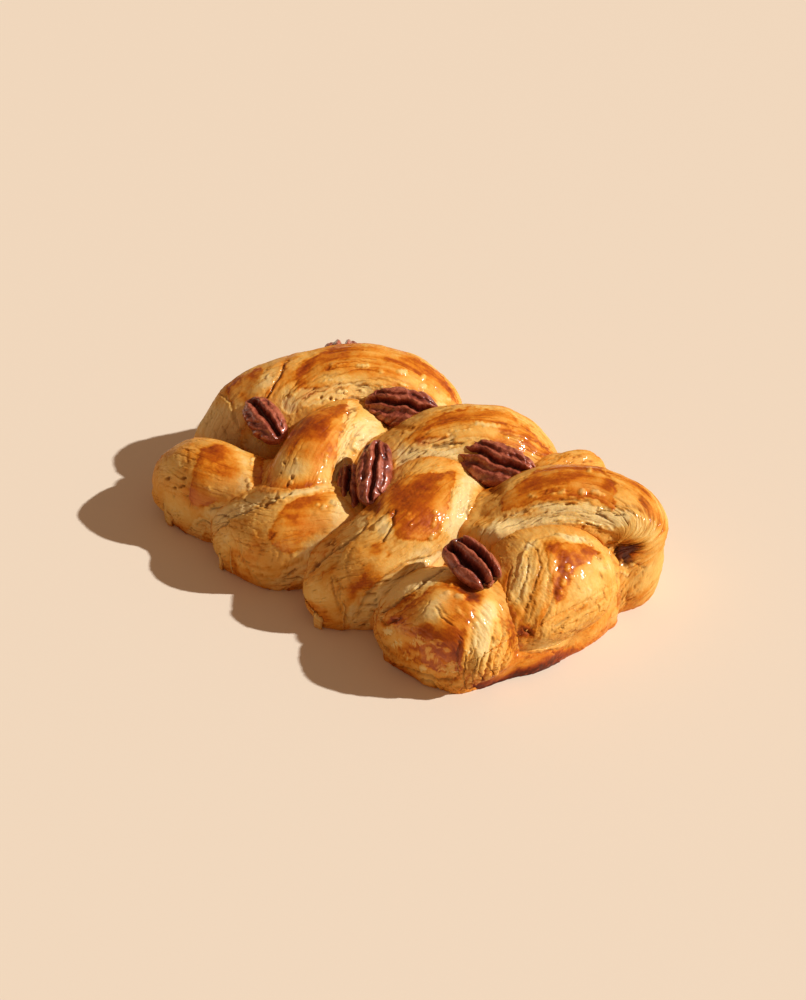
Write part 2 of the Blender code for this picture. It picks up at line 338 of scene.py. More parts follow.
class Wire:
    # a socket of a material, for sums written as Python
    def __init__(self, tree, socket):
        self.tree, self.socket = tree, socket

    def node(self, kind, settings, values, output=0):
        made = self.tree.nodes.new(kind)
        for name, value in settings.items():
            if name == "stops":
                setStops(made.color_ramp, value)
            else:
                setattr(made, name, value)
        for key, value in values.items():
            if isinstance(value, Wire):
                self.tree.links.new(value.socket, made.inputs[key])
            else:
                made.inputs[key].default_value = value
        return Wire(self.tree, made.outputs[output])

    def sum(self, operation, *values, clamp=False):
        settings = {"operation": operation, "use_clamp": clamp}
        return self.node("ShaderNodeMath", settings, dict(enumerate(values)))

    def __add__(self, other):
        return self.sum("ADD", self, other)

    def __sub__(self, other):
        return self.sum("SUBTRACT", self, other)

    def __rsub__(self, other):
        return self.sum("SUBTRACT", other, self)

    def __mul__(self, other):
        return self.sum("MULTIPLY", self, other)

    __radd__, __rmul__ = __add__, __mul__

    def clamp(self):
        return self.sum("ADD", self, 0.0, clamp=True)

    def ramp(self, stops):
        return self.node("ShaderNodeValToRGB", {"stops": stops}, {"Fac": self})

    def blend(self, first, second, way="MIX"):
        # a mix of two colours, with this value as the share of the second
        settings = {"data_type": "RGBA", "blend_type": way, "clamp_factor": True}
        return self.node("ShaderNodeMix", settings, {0: self, 6: first, 7: second}, output=2)

    def noise(self, scale, detail, stretch=(1, 1, 1)):
        # this vector is the place, in metres; the scale is in bumps a metre. Noise about 0
        spread = self.node("ShaderNodeVectorMath", {"operation": "MULTIPLY"}, {0: self, 1: stretch})
        values = {"Vector": spread, "Scale": scale, "Detail": detail, "Roughness": 0.55}
        return self.node("ShaderNodeTexNoise", {}, values) - 0.5

    def bump(self, finish):
        values = {"Height": self, "Distance": finish["bumpHeight"], "Strength": finish["bumpStrength"]}
        return self.node("ShaderNodeBump", {}, values)


def setStops(ramp, stops):
    while len(ramp.elements) > 1:
        ramp.elements.remove(ramp.elements[-1])
    for k, (place, colour) in enumerate(stops):
        element = ramp.elements[0] if k == 0 else ramp.elements.new(place)
        element.position = place
        element.color = (*colour, 1)


def newMaterial(name, fixed):
    # a material with a Principled shader, the numbers set on its own sockets, and a start for its wires
    material = bpy.data.materials.new(name)
    material.use_nodes = True
    tree = material.node_tree
    shader = tree.nodes["Principled BSDF"]
    for key, value in fixed.items():
        shader.inputs[key].default_value = value
    return material, Wire(tree, None), shader


def placeOn(start, kind):
    # a point's place, in metres: "Object" in the room, "UV" along and round its own piece
    outputs = {"UV": 2, "Object": 3}
    return start.node("ShaderNodeTexCoord", {}, {}, output=outputs[kind])


def painted(start, name):
    return start.node("ShaderNodeAttribute", {"attribute_name": name}, {}, output=2)


def connect(wire, shader, key):
    wire.tree.links.new(wire.socket, shader.inputs[key])


crustFinish = {
    "bake": [(0.0, (0.82, 0.60, 0.26)), (0.2, (0.81, 0.48, 0.125)), (0.4, (0.75, 0.34, 0.052)),
             (0.55, (0.66, 0.215, 0.010)), (0.7, (0.46, 0.102, 0.001)), (0.85, (0.28, 0.040, 0.001)),
             (1.0, (0.10, 0.014, 0.002))],
    "leaf": (0.88, 0.62, 0.24, 1),  # the pale inside of a layer
    "slit": (0.16, 0.040, 0.004, 1),
    "syrup": (0.10, 0.012, 0.002, 1),
    "amber": (0.80, 0.33, 0.012, 1),
    "cover": {"leaf": 0.65, "amber": 0.45, "slit": 0.8, "syrup": 0.95},  # how fully each one covers
    "mottle": (420, 4), "specks": (1500, 2), "streak": (900, 3),  # bumps a metre and detail
    "streakStretch": (0.12, 1, 1),
    "roughness": 0.68,
    "bumpHeight": 0.0003, "bumpStrength": 0.85,
    "fixed": {"Coat Roughness": 0.09, "Coat IOR": 1.38, "Coat Tint": (1.0, 0.86, 0.62, 1),
              "Specular IOR Level": 0.16, "Subsurface Weight": 0.12,
              "Subsurface Radius": (1.0, 0.45, 0.2), "Subsurface Scale": 0.0010},
}


def crustMaterial():
    material, start, shader = newMaterial("goldenCrust", crustFinish["fixed"])
    bake, leaf, slit, syrup, glaze, amber = (
        painted(start, name) for name in ("bake", "leaf", "slit", "syrup", "glaze", "amber")
    )
    mottle = placeOn(start, "Object").noise(*crustFinish["mottle"])
    specks = placeOn(start, "Object").noise(*crustFinish["specks"])
    streak = placeOn(start, "UV").noise(*crustFinish["streak"], crustFinish["streakStretch"])
    cover = crustFinish["cover"]
    colour = (bake + mottle * 0.16 + specks * 0.20 + streak * 0.16).clamp().ramp(crustFinish["bake"])
    paleness = (leaf * (0.75 + streak * 0.9 + mottle * 0.4)).clamp()
    colour = (paleness * cover["leaf"]).blend(colour, crustFinish["leaf"])
    colour = (amber * cover["amber"]).clamp().blend(colour, crustFinish["amber"], "MULTIPLY")
    colour = (slit * cover["slit"]).clamp().blend(colour, crustFinish["slit"])
    colour = (syrup * cover["syrup"]).clamp().blend(colour, crustFinish["syrup"])
    connect(colour, shader, "Base Color")
    roughness = crustFinish["roughness"] - glaze * 0.22 - syrup * 0.3 + mottle * 0.15
    connect(roughness.clamp(), shader, "Roughness")
    connect((glaze * (0.75 + mottle * 0.6) + syrup * 0.6).clamp(), shader, "Coat Weight")
    height = specks * 0.3 + mottle * 0.55 + streak * (0.4 + leaf * 0.9)
    connect(height.bump(crustFinish), shader, "Normal")
    return material


pecanFinish = {
    "tones": [(0.0, (0.016, 0.002, 0.0015)), (0.3, (0.080, 0.011, 0.006)), (0.6, (0.21, 0.035, 0.017)),
              (0.85, (0.33, 0.070, 0.032)), (1.0, (0.46, 0.12, 0.058))],
    "mottle": (600, 4), "specks": (2600, 2),  # bumps a metre and detail
    "roughness": 0.40, "coat": 0.80,
    "bumpHeight": 0.0003, "bumpStrength": 0.7,
    "fixed": {"Coat Roughness": 0.14, "Coat IOR": 1.5, "Specular IOR Level": 0.3},
}


def pecanMaterial():
    material, start, shader = newMaterial("toastedPecan", pecanFinish["fixed"])
    hollow = painted(start, "hollow")
    mottle = placeOn(start, "Object").noise(*pecanFinish["mottle"])
    specks = placeOn(start, "Object").noise(*pecanFinish["specks"])
    tone = (1.0 + mottle * 0.8 + specks * 0.4 - hollow * 0.75).clamp()
    connect(tone.ramp(pecanFinish["tones"]), shader, "Base Color")
    roughness = pecanFinish["roughness"] + mottle * 0.3 + hollow * 0.2
    connect(roughness.clamp(), shader, "Roughness")
    coat = pecanFinish["coat"] + mottle * 1.2 - hollow * 0.3
    connect(coat.clamp(), shader, "Coat Weight")
    connect((specks * 0.6 + mottle * 0.6).bump(pecanFinish), shader, "Normal")
    return material


crust = crustMaterial()
toasted = pecanMaterial()
print("materials made")

# Each strand shows between two crossings. Its sections follow its spine: x, y, level of the widest point,
# half width, and height of the crest above that level, in mm. Its marks lie where the photo shows them, in
# the photo's pixels, and they are
#   glazed: outlines that the glaze covers
#   layered: lines along which the layers are bared, and half the width of that band
#   pleats: the outline of some folds, and their direction in degrees, pitch, bow and depth in mm
#   cuts and ridges: lines with half their width, and their strength
#   pits and islands, which are standing flakes: x, y and radius
#   beads: rows of syrup beads, from x, y to x, y, how many, and their radius
#   deep and pale: ovals that deepen and lighten the bake, partly real browning and cream, partly painted
#       shade in shadowed spots and painted light and highlights on faces the sun leaves dark; amber, syrup
#       and humps: ovals too. All as x, y, half length, half width, tilt in degrees and amount
# The other settings are listed with the plain strand, which is what a strand is where it says nothing else.
plainStrand = {
    "glazed": (), "layered": (), "pleats": (), "cuts": (), "ridges": (), "pits": (), "islands": (),
    "beads": (), "deep": (), "pale": (), "amber": (), "syrup": (), "humps": (),
    "small": False,  # made of fewer faces
    "torn": 0.0, "banded": 0.7, "cracked": 0.8,  # how much of its skin is torn, streaked and cracked
    "foot": 0.12,  # how much deeper its foot is baked
    "darkest": 0.71,  # the bake past which it hardly deepens
}
strands = {
    "farEnd": {
        "sections": [(-61, -15, 6, 10, 8), (-60, -11, 11, 10.5, 10), (-57, -3.5, 17.5, 11, 12.5),
                     (-53, 4.5, 21, 11, 12), (-49, 10, 20.5, 10, 11)],
        "bake": 0.29,
        "glazed": [[(226, 392), (238, 378), (262, 368), (264, 392), (250, 402), (248, 440), (238, 428)]],
        # the first cut, which back1 shares, is a painted shadow line along the edge where back1 meets this
        # end
        "cuts": [([(286, 362), (279, 377), (272, 390), (264, 402)], 2.0, 1.0),
                 ([(220, 394), (231, 403), (236, 420), (244, 436)], 2.2, 0.5),
                 ([(205, 427), (215, 412)], 1.5, 0.25), ([(213, 431), (218, 439)], 1.6, 0.35),
                 ([(222, 426), (226, 436)], 1.6, 0.35), ([(224, 412), (228, 405)], 1.5, 0.2)],
        "ridges": [([(212, 405), (222, 399), (230, 408), (234, 424)], 5, 0.35)],
        "beads": [(238, 428, 243, 436, 2, 1.6)],
        "deep": [(256, 384, 22, 8, -50, 0.16), (251, 379, 9, 4, -50, 0.25), (230, 386, 10, 2.5, -50, 0.3),
                 (204, 411, 10, 2.5, -60, 0.25), (262, 440, 8, 10, 0, 0.1)],
        "pale": [(268, 379, 16, 8, -45, 0.3), (216, 418, 18, 16, -50, 0.26), (240, 412, 8, 16, -10, 0.24),
                 (254, 386, 10, 12, -30, 0.2), (228, 432, 30, 16, 20, 0.36)],
    },
    "front1": {
        "sections": [(-57, -32, 6, 11, 9), (-54.5, -31.5, 11, 11.5, 11), (-47, -31.6, 14, 11.8, 11.5),
                     (-38.3, -29, 13.5, 11.5, 11), (-27, -20.5, 11, 10.5, 10)],
        "bake": 0.36,
        "glazed": [[(201, 449), (225, 443), (250, 443), (263, 447), (262, 500), (235, 499), (215, 503),
                    (200, 508), (190, 506), (188, 494), (192, 478), (197, 464)]],
        "layered": [([(192, 536), (204, 522), (224, 512), (246, 507), (264, 505)], 8)],
        "pleats": [([(188, 542), (198, 518), (222, 506), (264, 498), (266, 513), (235, 522), (212, 536)],
                    156, 6, 0, 0.4)],
        "cuts": [([(188, 450), (187, 463), (178, 470)], 1.6, 0.3),
                 ([(162, 503), (167, 513), (171, 522)], 1.8, 0.8),
                 ([(189, 482), (187, 498), (194, 509), (205, 506)], 1.8, 0.35),
                 ([(209, 510), (221, 507)], 1.5, 0.9), ([(196, 528), (200, 522), (205, 519)], 1.5, 0.8),
                 ([(226, 509), (246, 504)], 1.3, 0.8), ([(172, 468), (184, 475), (186, 488)], 1.6, 0.25),
                 ([(170, 452), (165, 462)], 1.5, 0.2)],
        "pits": [(167, 478, 3.2), (183, 479, 2.6), (182, 486, 2.6), (175, 487, 2.0), (173, 497, 1.8)],
        "beads": [(258, 452, 250, 466, 4, 1.8), (249, 478, 250, 492, 3, 2.2), (251, 500, 252, 505, 2, 1.6),
                  (204, 486, 212, 490, 3, 1.3)],
        "deep": [(215, 451, 12, 9, -10, 0.26), (205, 466, 8, 13, 0, 0.12), (192, 452, 10, 9, 0, 0.12),
                 (181, 530, 12, 5, 40, 0.18), (222, 462, 18, 12, 0, 0.14)],
        "pale": [(244, 474, 8, 26, 0, 0.26), (172, 466, 12, 12, -40, 0.14), (240, 446, 18, 4, 3, 0.22),
                 (226, 488, 20, 10, 0, 0.2), (172, 512, 14, 16, 30, 0.14), (228, 510, 24, 10, -14, 0.36)],
        "amber": [(232, 482, 18, 14, 0, 0.6), (194, 497, 7, 10, 0, 0.6)],
    },
    "middle": {
        "sections": [(-17, -30, 8, 9, 10), (-18.5, -25, 14, 10, 12.5), (-21.5, -16, 19, 11, 14),
                     (-24, -6, 20.5, 11, 14), (-24, 3, 19.5, 11, 12.5), (-22.5, 10, 15, 11, 10)],
        "bake": 0.34,
        "glazed": [[(290, 420), (310, 409), (347, 404), (350, 412), (343, 430), (337, 452), (333, 480),
                    (300, 488), (272, 494), (268, 480), (272, 455), (280, 435)]],
        "layered": [([(352, 407), (347, 430), (339, 458), (336, 490)], 5), ([(368, 424), (356, 444)], 4)],
        "cuts": [([(366, 424), (352, 439), (350, 449), (357, 453)], 1.6, 0.6),
                 ([(383, 420), (387, 432)], 1.5, 0.5), ([(345, 440), (338, 462), (335, 480)], 1.4, 0.4),
                 ([(316, 424), (325, 417), (333, 414)], 1.3, 0.25)],
        "pits": [(292, 477, 2.6), (287, 485, 1.8), (284, 463, 1.6), (281, 472, 1.2)],
        "beads": [(327, 452, 325, 468, 3, 1.9), (324, 480, 325, 484, 2, 2.0), (296, 458, 297, 464, 2, 1.6),
                  (290, 481, 292, 484, 2, 1.8)],
        "deep": [(300, 425, 14, 9, -20, 0.28), (318, 428, 15, 11, -20, 0.36), (338, 411, 11, 5, -20, 0.22),
                 (326, 446, 8, 14, 0, 0.1), (292, 440, 8, 10, 0, 0.12)],
        "pale": [(296, 468, 16, 12, 0, 0.28), (326, 476, 8, 16, 5, 0.22), (366, 435, 16, 20, 30, 0.34),
                 (278, 464, 8, 20, 5, 0.14), (345, 455, 6, 20, 8, 0.16), (343, 484, 9, 24, 5, 0.3)],
        "amber": [(318, 450, 14, 22, 10, 0.5)],
    },
    "front2": {
        "sections": [(-28.3, -34, 5, 12, 9), (-25.5, -33.8, 10.5, 12.6, 9.8),
                     (-16.5, -32, 13.5, 13.4, 11.5), (-8.5, -24.5, 15, 11.2, 11),
                     (-1.5, -14.5, 13, 8.5, 9)],
        "bake": 0.34,
        "glazed": [[(275, 520), (288, 503), (318, 492), (340, 492), (352, 505), (354, 525), (342, 536),
                    (322, 546), (300, 551), (284, 553), (274, 545), (267, 535)]],
        "layered": [([(276, 592), (290, 576), (314, 561), (338, 549), (352, 536)], 8),
                    ([(210, 528), (230, 510), (252, 501), (272, 497)], 7)],
        "pleats": [([(266, 594), (285, 568), (312, 550), (345, 533), (354, 546), (330, 567), (300, 587),
                    (280, 600)], 145, 6, 0, 0.4),
                   ([(222, 530), (262, 530), (268, 570), (262, 590), (236, 570)], 65, 9, 0, 0.3)],
        "cuts": [([(206, 540), (234, 516), (262, 506), (292, 494)], 1.6, 0.8),
                 ([(212, 526), (232, 509), (254, 502)], 1.3, 0.5),
                 ([(240, 540), (243, 555), (250, 570), (262, 586)], 1.7, 0.35),
                 ([(263, 540), (258, 560), (261, 577)], 1.7, 0.35),
                 ([(272, 545), (281, 553), (274, 566)], 1.6, 0.35), ([(244, 548), (255, 552)], 1.5, 0.3),
                 ([(276, 533), (268, 541)], 1.5, 0.5), ([(287, 577), (296, 570)], 1.6, 0.9),
                 ([(309, 557), (318, 553)], 1.4, 0.8), ([(306, 573), (322, 562)], 1.4, 0.7),
                 ([(222, 540), (232, 548)], 1.5, 0.3), ([(262, 578), (276, 582)], 1.5, 0.3)],
        "ridges": [([(275, 503), (300, 493), (330, 487), (344, 490)], 4, 0.5)],
        "beads": [(318, 507, 325, 507, 3, 2.0), (331, 502, 337, 504, 2, 2.6), (343, 534, 346, 530, 2, 2.0)],
        "deep": [(303, 503, 18, 6, -18, 0.18), (292, 514, 14, 9, -20, 0.12), (272, 536, 5, 9, 35, 0.16),
                 (233, 555, 9, 7, 40, 0.14), (240, 572, 18, 6, 35, 0.24), (256, 545, 7, 16, 10, 0.14)],
        "pale": [(232, 512, 28, 8, -18, 0.4), (300, 492, 36, 3, -15, 0.3), (340, 512, 12, 16, 0, 0.34),
                 (325, 543, 30, 10, -28, 0.42), (226, 542, 10, 14, 0, 0.12), (322, 522, 14, 10, 0, 0.14)],
        "amber": [(318, 524, 24, 12, -10, 0.8), (266, 556, 7, 18, -10, 0.5), (240, 562, 10, 8, 30, 0.4)],
    },
    "back1": {
        "sections": [(-46, -5, 14, 12, 12), (-46, 4, 19, 14, 14), (-42, 15.5, 22, 15.5, 14.2),
                     (-33.5, 25, 21.5, 15, 14), (-25, 31, 17, 14, 13.2), (-20, 34, 10, 12.5, 11.2)],
        "bake": 0.36, "banded": 1.3,
        "glazed": [[(300, 372), (320, 352), (350, 343), (400, 350), (440, 372), (460, 410), (440, 402),
                    (410, 388), (365, 384), (330, 388), (296, 402)]],
        "layered": [([(290, 404), (305, 398), (330, 393), (362, 391)], 8)],
        # the first cut, which farEnd shares, is a painted shadow line along the edge where this strand meets
        # the far end
        "cuts": [([(286, 362), (279, 377), (272, 390), (264, 402)], 2.0, 1.0),
                 ([(284, 397), (300, 386), (320, 377), (346, 373)], 1.5, 0.35),
                 ([(290, 404), (312, 390), (340, 384), (366, 381)], 1.4, 0.35),
                 ([(342, 399), (350, 397), (362, 399)], 2.2, 1.0), ([(432, 384), (440, 394)], 1.4, 0.4),
                 ([(300, 376), (316, 366)], 1.4, 0.25), ([(370, 378), (392, 378), (410, 384)], 1.3, 0.25)],
        "pits": [(321, 398, 2.6), (331, 398, 2.8), (336, 399, 2.0)],
        "beads": [(330, 366, 345, 365, 5, 1.5), (356, 367, 369, 367, 3, 2.4), (378, 370, 383, 371, 2, 1.8),
                  (397, 371, 405, 373, 3, 2.3), (422, 377, 425, 378, 2, 2.2), (422, 386, 424, 387, 1, 2.8),
                  (400, 384, 406, 384, 2, 1.9), (381, 386, 384, 387, 1, 2.2), (336, 392, 346, 390, 4, 1.7),
                  (362, 391, 366, 392, 2, 1.8), (447, 399, 450, 400, 1, 2.4), (318, 382, 334, 380, 5, 1.1)],
        "deep": [(336, 361, 18, 7, -5, 0.2), (345, 351, 28, 5, 3, 0.1), (412, 368, 26, 5, 22, 0.18),
                 (306, 366, 12, 6, -45, 0.26), (300, 380, 6, 10, 20, 0.16), (448, 388, 12, 4, 55, 0.16),
                 (290, 378, 8, 12, 40, 0.1), (430, 391, 12, 8, 30, 0.14)],
        "pale": [(355, 380, 36, 7, 3, 0.24), (290, 400, 10, 14, 45, 0.14), (436, 396, 18, 8, 40, 0.22),
                 (330, 402, 26, 4, -8, 0.14), (412, 384, 20, 5, 20, 0.16), (390, 350, 30, 5, 15, 0.1),
                 (252, 444, 16, 10, 0, 0.3)],
    },
    "back2": {
        "sections": [(-6, -8, 12, 10, 11), (-3, 3, 19, 12, 13), (3, 14.3, 22.7, 14, 14),
                     (11, 24, 22.3, 14, 14), (17.5, 30.5, 16.5, 14, 12.5), (21, 33.5, 8, 13, 10)],
        "bake": 0.36, "banded": 1.3,
        "glazed": [[(404, 440), (430, 420), (470, 406), (512, 415), (540, 440), (556, 462), (522, 450),
                    (480, 436), (450, 436), (420, 446)]],
        "layered": [([(396, 470), (408, 458), (424, 446), (450, 440)], 6)],
        "cuts": [([(431, 447), (440, 445), (452, 443), (463, 443)], 2.2, 1.0),
                 ([(412, 462), (420, 455), (426, 452)], 1.5, 0.7), ([(422, 468), (432, 464)], 1.4, 0.5),
                 ([(394, 462), (408, 446), (430, 430)], 1.4, 0.4),
                 ([(390, 456), (402, 440), (420, 426)], 1.4, 0.3), ([(436, 462), (452, 458)], 1.2, 0.3)],
        "beads": [(476, 424, 500, 426, 7, 1.9), (504, 437, 524, 440, 6, 2.1), (506, 425, 516, 431, 4, 1.5),
                  (448, 431, 472, 430, 5, 1.2)],
        "deep": [(470, 415, 40, 4, -3, 0.1), (446, 421, 18, 4, -22, 0.14), (506, 427, 12, 5, 25, 0.22),
                 (424, 432, 16, 2, -38, 0.18), (528, 440, 10, 6, 45, 0.16)],
        "pale": [(440, 455, 26, 10, -12, 0.34), (405, 456, 14, 12, -40, 0.28), (470, 432, 36, 8, 0, 0.2),
                 (490, 410, 24, 4, 10, 0.1)],
    },
    "front3": {
        "sections": [(6.3, -33.5, 4, 12, 9), (9, -32.3, 10.5, 12.2, 11), (15.2, -26, 16, 12.7, 12.5),
                     (16.5, -13, 19.6, 14, 13), (15, -1.5, 20.5, 14.5, 12), (17.5, 8, 16, 12.5, 10.5)],
        "bake": 0.34,
        "glazed": [[(384, 492), (398, 479), (424, 472), (455, 473), (454, 484), (447, 506), (442, 530),
                    (434, 540), (412, 541), (398, 537), (394, 522), (390, 514), (376, 518), (378, 505)]],
        "layered": [([(360, 630), (368, 608), (388, 588), (412, 574), (440, 562)], 11),
                    ([(360, 522), (340, 544), (318, 558), (302, 572)], 8)],
        "pleats": [([(352, 624), (366, 598), (388, 576), (415, 560), (446, 548), (442, 572), (410, 592),
                    (385, 612), (368, 634)], 142, 7, 0, 0.45),
                   ([(446, 480), (476, 478), (470, 540), (440, 550)], 100, 8, 0, 0.2)],
        "cuts": [([(368, 524), (345, 543), (321, 561), (304, 577), (296, 588)], 1.9, 1.1),
                 ([(352, 546), (345, 566), (350, 584)], 1.3, 0.4),
                 ([(334, 578), (341, 584), (339, 600)], 1.4, 0.5),
                 ([(330, 577), (336, 600), (346, 619)], 1.4, 0.6),
                 ([(370, 526), (382, 518), (393, 510)], 1.3, 0.4),
                 ([(395, 509), (393, 524), (387, 534), (381, 542)], 2.0, 0.9),
                 ([(337, 563), (345, 546), (362, 531), (374, 524)], 1.5, 0.3),
                 ([(341, 582), (336, 599), (342, 612), (350, 622)], 1.5, 0.35),
                 ([(357, 622), (365, 596), (385, 576), (405, 563), (434, 555)], 1.6, 0.7),
                 ([(370, 604), (388, 592), (404, 583), (430, 577)], 1.4, 0.8),
                 ([(366, 620), (376, 606), (396, 596), (408, 588)], 1.3, 0.7),
                 ([(384, 558), (390, 552), (386, 546)], 1.3, 0.35),
                 ([(470, 505), (466, 512), (470, 520)], 1.6, 0.6),
                 ([(452, 490), (446, 520), (442, 545)], 1.2, 0.2), ([(462, 488), (458, 516)], 1.2, 0.2),
                 ([(331, 574), (341, 580)], 1.4, 0.3)],
        "ridges": [([(374, 528), (384, 520), (393, 514)], 4, 0.55)],
        "beads": [(436, 510, 436, 514, 1, 2.6), (437, 518, 434, 526, 3, 2.0), (433, 534, 431, 538, 2, 2.2),
                  (408, 511, 412, 527, 3, 1.2), (444, 525, 440, 534, 3, 1.5), (470, 538, 474, 545, 3, 2.0),
                  (475, 500, 478, 526, 3, 1.6), (424, 558, 429, 568, 4, 1.8)],
        "deep": [(398, 498, 10, 14, 20, 0.26), (420, 492, 18, 13, -20, 0.36), (436, 478, 16, 6, -10, 0.24),
                 (412, 516, 14, 14, 0, 0.2), (404, 530, 10, 10, 0, 0.18), (430, 520, 10, 14, 0, 0.16),
                 (360, 586, 4, 22, 28, 0.22), (495, 487, 10, 8, 20, 0.5), (506, 570, 6, 16, 15, 0.2),
                 (376, 549, 10, 6, -35, 0.26), (370, 580, 9, 15, 25, 0.22), (388, 553, 2.5, 5, 0, 0.3),
                 (331, 568, 7, 3, -50, 0.16), (318, 612, 26, 5, 28, 0.18), (330, 548, 12, 10, -30, 0.12),
                 (352, 590, 6, 16, 25, 0.2)],
        "pale": [(460, 512, 11, 38, 12, 0.34), (384, 526, 9, 10, -30, 0.26), (425, 556, 26, 10, -15, 0.2),
                 (474, 480, 8, 8, 0, 0.2), (312, 590, 12, 12, 0, 0.14), (400, 585, 36, 8, -35, 0.46),
                 (342, 560, 12, 12, 0, 0.08), (480, 530, 28, 13, 5, 0.5), (352, 612, 4, 14, 25, 0.2)],
        "amber": [(422, 520, 18, 16, 0, 0.7), (348, 615, 5, 20, 15, 0.6), (372, 575, 8, 18, 28, 0.5)],
    },
    "back3": {
        "sections": [(32, -4, 12, 10, 11), (36, 5, 19, 12, 13), (42, 14.5, 22, 14, 14),
                     (50.5, 22, 21.5, 14, 14), (60, 25.5, 18.3, 11.8, 13.7), (58.6, 17.2, 9, 8.4, 9.5)],
        "bake": 0.35, "banded": 1.2,
        "glazed": [[(500, 498), (515, 485), (540, 470), (570, 462), (598, 465), (610, 477), (617, 490),
                    (612, 498), (612, 508), (596, 500), (570, 497), (540, 500), (515, 508), (502, 512)]],
        "layered": [([(506, 528), (540, 513), (580, 511), (622, 518)], 9)],
        "cuts": [([(498, 523), (528, 508), (560, 499), (592, 501)], 1.6, 0.5),
                 ([(565, 504), (577, 503)], 1.6, 0.9),
                 ([(613, 505), (632, 506), (646, 512), (656, 522), (664, 536)], 1.6, 0.6),
                 ([(614, 514), (626, 514)], 1.5, 0.8), ([(510, 530), (540, 517), (570, 515)], 1.3, 0.4),
                 ([(575, 512), (600, 514), (612, 522)], 1.3, 0.35),
                 ([(596, 466), (610, 478), (617, 490), (613, 498)], 1.6, 0.3),
                 ([(640, 496), (642, 504)], 1.5, 0.6), ([(616, 545), (615, 553), (621, 562)], 3.2, 1.2),
                 ([(636, 552), (648, 556)], 1.4, 0.4), ([(634, 562), (646, 570)], 1.4, 0.4),
                 ([(632, 580), (646, 572)], 1.4, 0.4), ([(628, 592), (642, 582)], 1.4, 0.4),
                 ([(650, 534), (656, 546)], 1.4, 0.4), ([(644, 540), (654, 556)], 1.3, 0.3),
                 ([(525, 520), (548, 512)], 1.3, 0.5),
                 ([(556, 530), (572, 531), (586, 536), (600, 544)], 4.2, 1.7),
                 ([(618, 505), (640, 519), (655, 538), (661, 552)], 1.4, 0.6),
                 ([(552, 521), (576, 521), (600, 527)], 1.3, 0.7)],
        "ridges": [([(560, 522), (590, 524), (606, 530)], 3, 0.4)],
        "humps": [(482, 532, 28, 11, 0, 2.4)],
        "syrup": [(622, 553, 8, 6, 15, 1.1), (632, 549, 9, 5, -15, 0.7), (627, 562, 7, 6, 0, 0.6)],
        "beads": [(552, 495, 566, 491, 3, 2.0), (581, 490, 584, 491, 1, 3.0), (592, 493, 605, 494, 4, 2.2),
                  (564, 521, 604, 526, 12, 1.2), (608, 530, 611, 529, 2, 2.0), (528, 494, 540, 498, 3, 1.5),
                  (588, 470, 591, 470, 1, 2.2), (626, 552, 630, 554, 2, 1.5), (620, 564, 634, 566, 5, 1.8),
                  (620, 572, 628, 574, 4, 1.6), (598, 508, 603, 509, 2, 1.8)],
        "deep": [(548, 482, 24, 7, -8, 0.26), (576, 472, 18, 6, 0, 0.2), (528, 490, 10, 6, -15, 0.2),
                 (608, 486, 8, 9, 50, 0.24), (622, 536, 20, 5, 12, 0.12), (645, 545, 12, 10, 60, 0.16),
                 (652, 510, 34, 6, 58, 0.26), (624, 478, 26, 6, 30, 0.18), (636, 600, 22, 3, -42, 0.12),
                 (515, 550, 14, 6, -20, 0.2), (634, 552, 16, 12, 20, 0.34)],
        "pale": [(645, 538, 11, 20, 20, 0.18), (560, 508, 30, 6, 0, 0.22), (535, 528, 36, 10, -12, 0.34),
                 (605, 518, 26, 8, 5, 0.28), (500, 532, 20, 11, -20, 0.44), (604, 547, 8, 4, 0, 0.2),
                 (598, 490, 10, 4, 10, 0.2)],
        "amber": [(590, 490, 20, 9, 5, 0.7), (608, 505, 8, 6, 0, 0.6), (600, 535, 22, 5, 8, 0.5)],
    },
    "front4": {
        "sections": [(31.5, -32, 5, 11, 9), (36.5, -31, 11, 13, 11.3), (44.2, -29, 14, 15.8, 12.3),
                     (49.6, -28.2, 14, 14.6, 12), (52.4, -28, 9.5, 12.6, 11)],
        "bake": 0.38,
        "glazed": [[(392, 618), (415, 600), (440, 580), (470, 596), (474, 610), (462, 640), (462, 672),
                    (440, 672), (420, 662), (400, 650)]],
        "layered": [([(374, 616), (388, 598), (408, 583), (434, 567)], 8)],
        "pleats": [([(466, 606), (498, 600), (514, 640), (508, 668), (490, 692), (466, 692), (458, 660)],
                    104, 8, -0.12, 0.55),
                   ([(440, 664), (490, 664), (510, 662), (500, 692), (450, 696)], 150, 6, 0, 0.35),
                   ([(376, 606), (420, 590), (425, 610), (392, 630)], 145, 7, 0, 0.4)],
        "cuts": [([(376, 615), (395, 603), (412, 592), (428, 579), (446, 569)], 2.0, 1.1),
                 ([(378, 616), (385, 625), (402, 619)], 1.8, 0.8),
                 ([(484, 652), (478, 670), (484, 683), (496, 682)], 1.3, 0.9),
                 ([(478, 658), (472, 676), (476, 687), (490, 690)], 1.3, 0.9),
                 ([(467, 655), (463, 676), (468, 690)], 1.3, 0.8),
                 ([(492, 650), (488, 666), (494, 674)], 1.2, 0.6),
                 ([(436, 606), (442, 618), (452, 626)], 1.4, 0.6),
                 ([(430, 600), (424, 612), (414, 622)], 1.4, 0.3),
                 ([(440, 604), (446, 616), (452, 622)], 1.5, 0.4),
                 ([(392, 664), (418, 672), (440, 680), (458, 679)], 1.7, 0.8),
                 ([(420, 680), (432, 682), (438, 690)], 1.7, 0.7),
                 ([(376, 632), (384, 646), (396, 658)], 1.4, 0.35),
                 ([(462, 634), (457, 655), (459, 678)], 1.5, 0.6)],
        "islands": [(418, 641, 7), (437, 641, 8), (432, 657, 6), (447, 650, 4), (411, 655, 8),
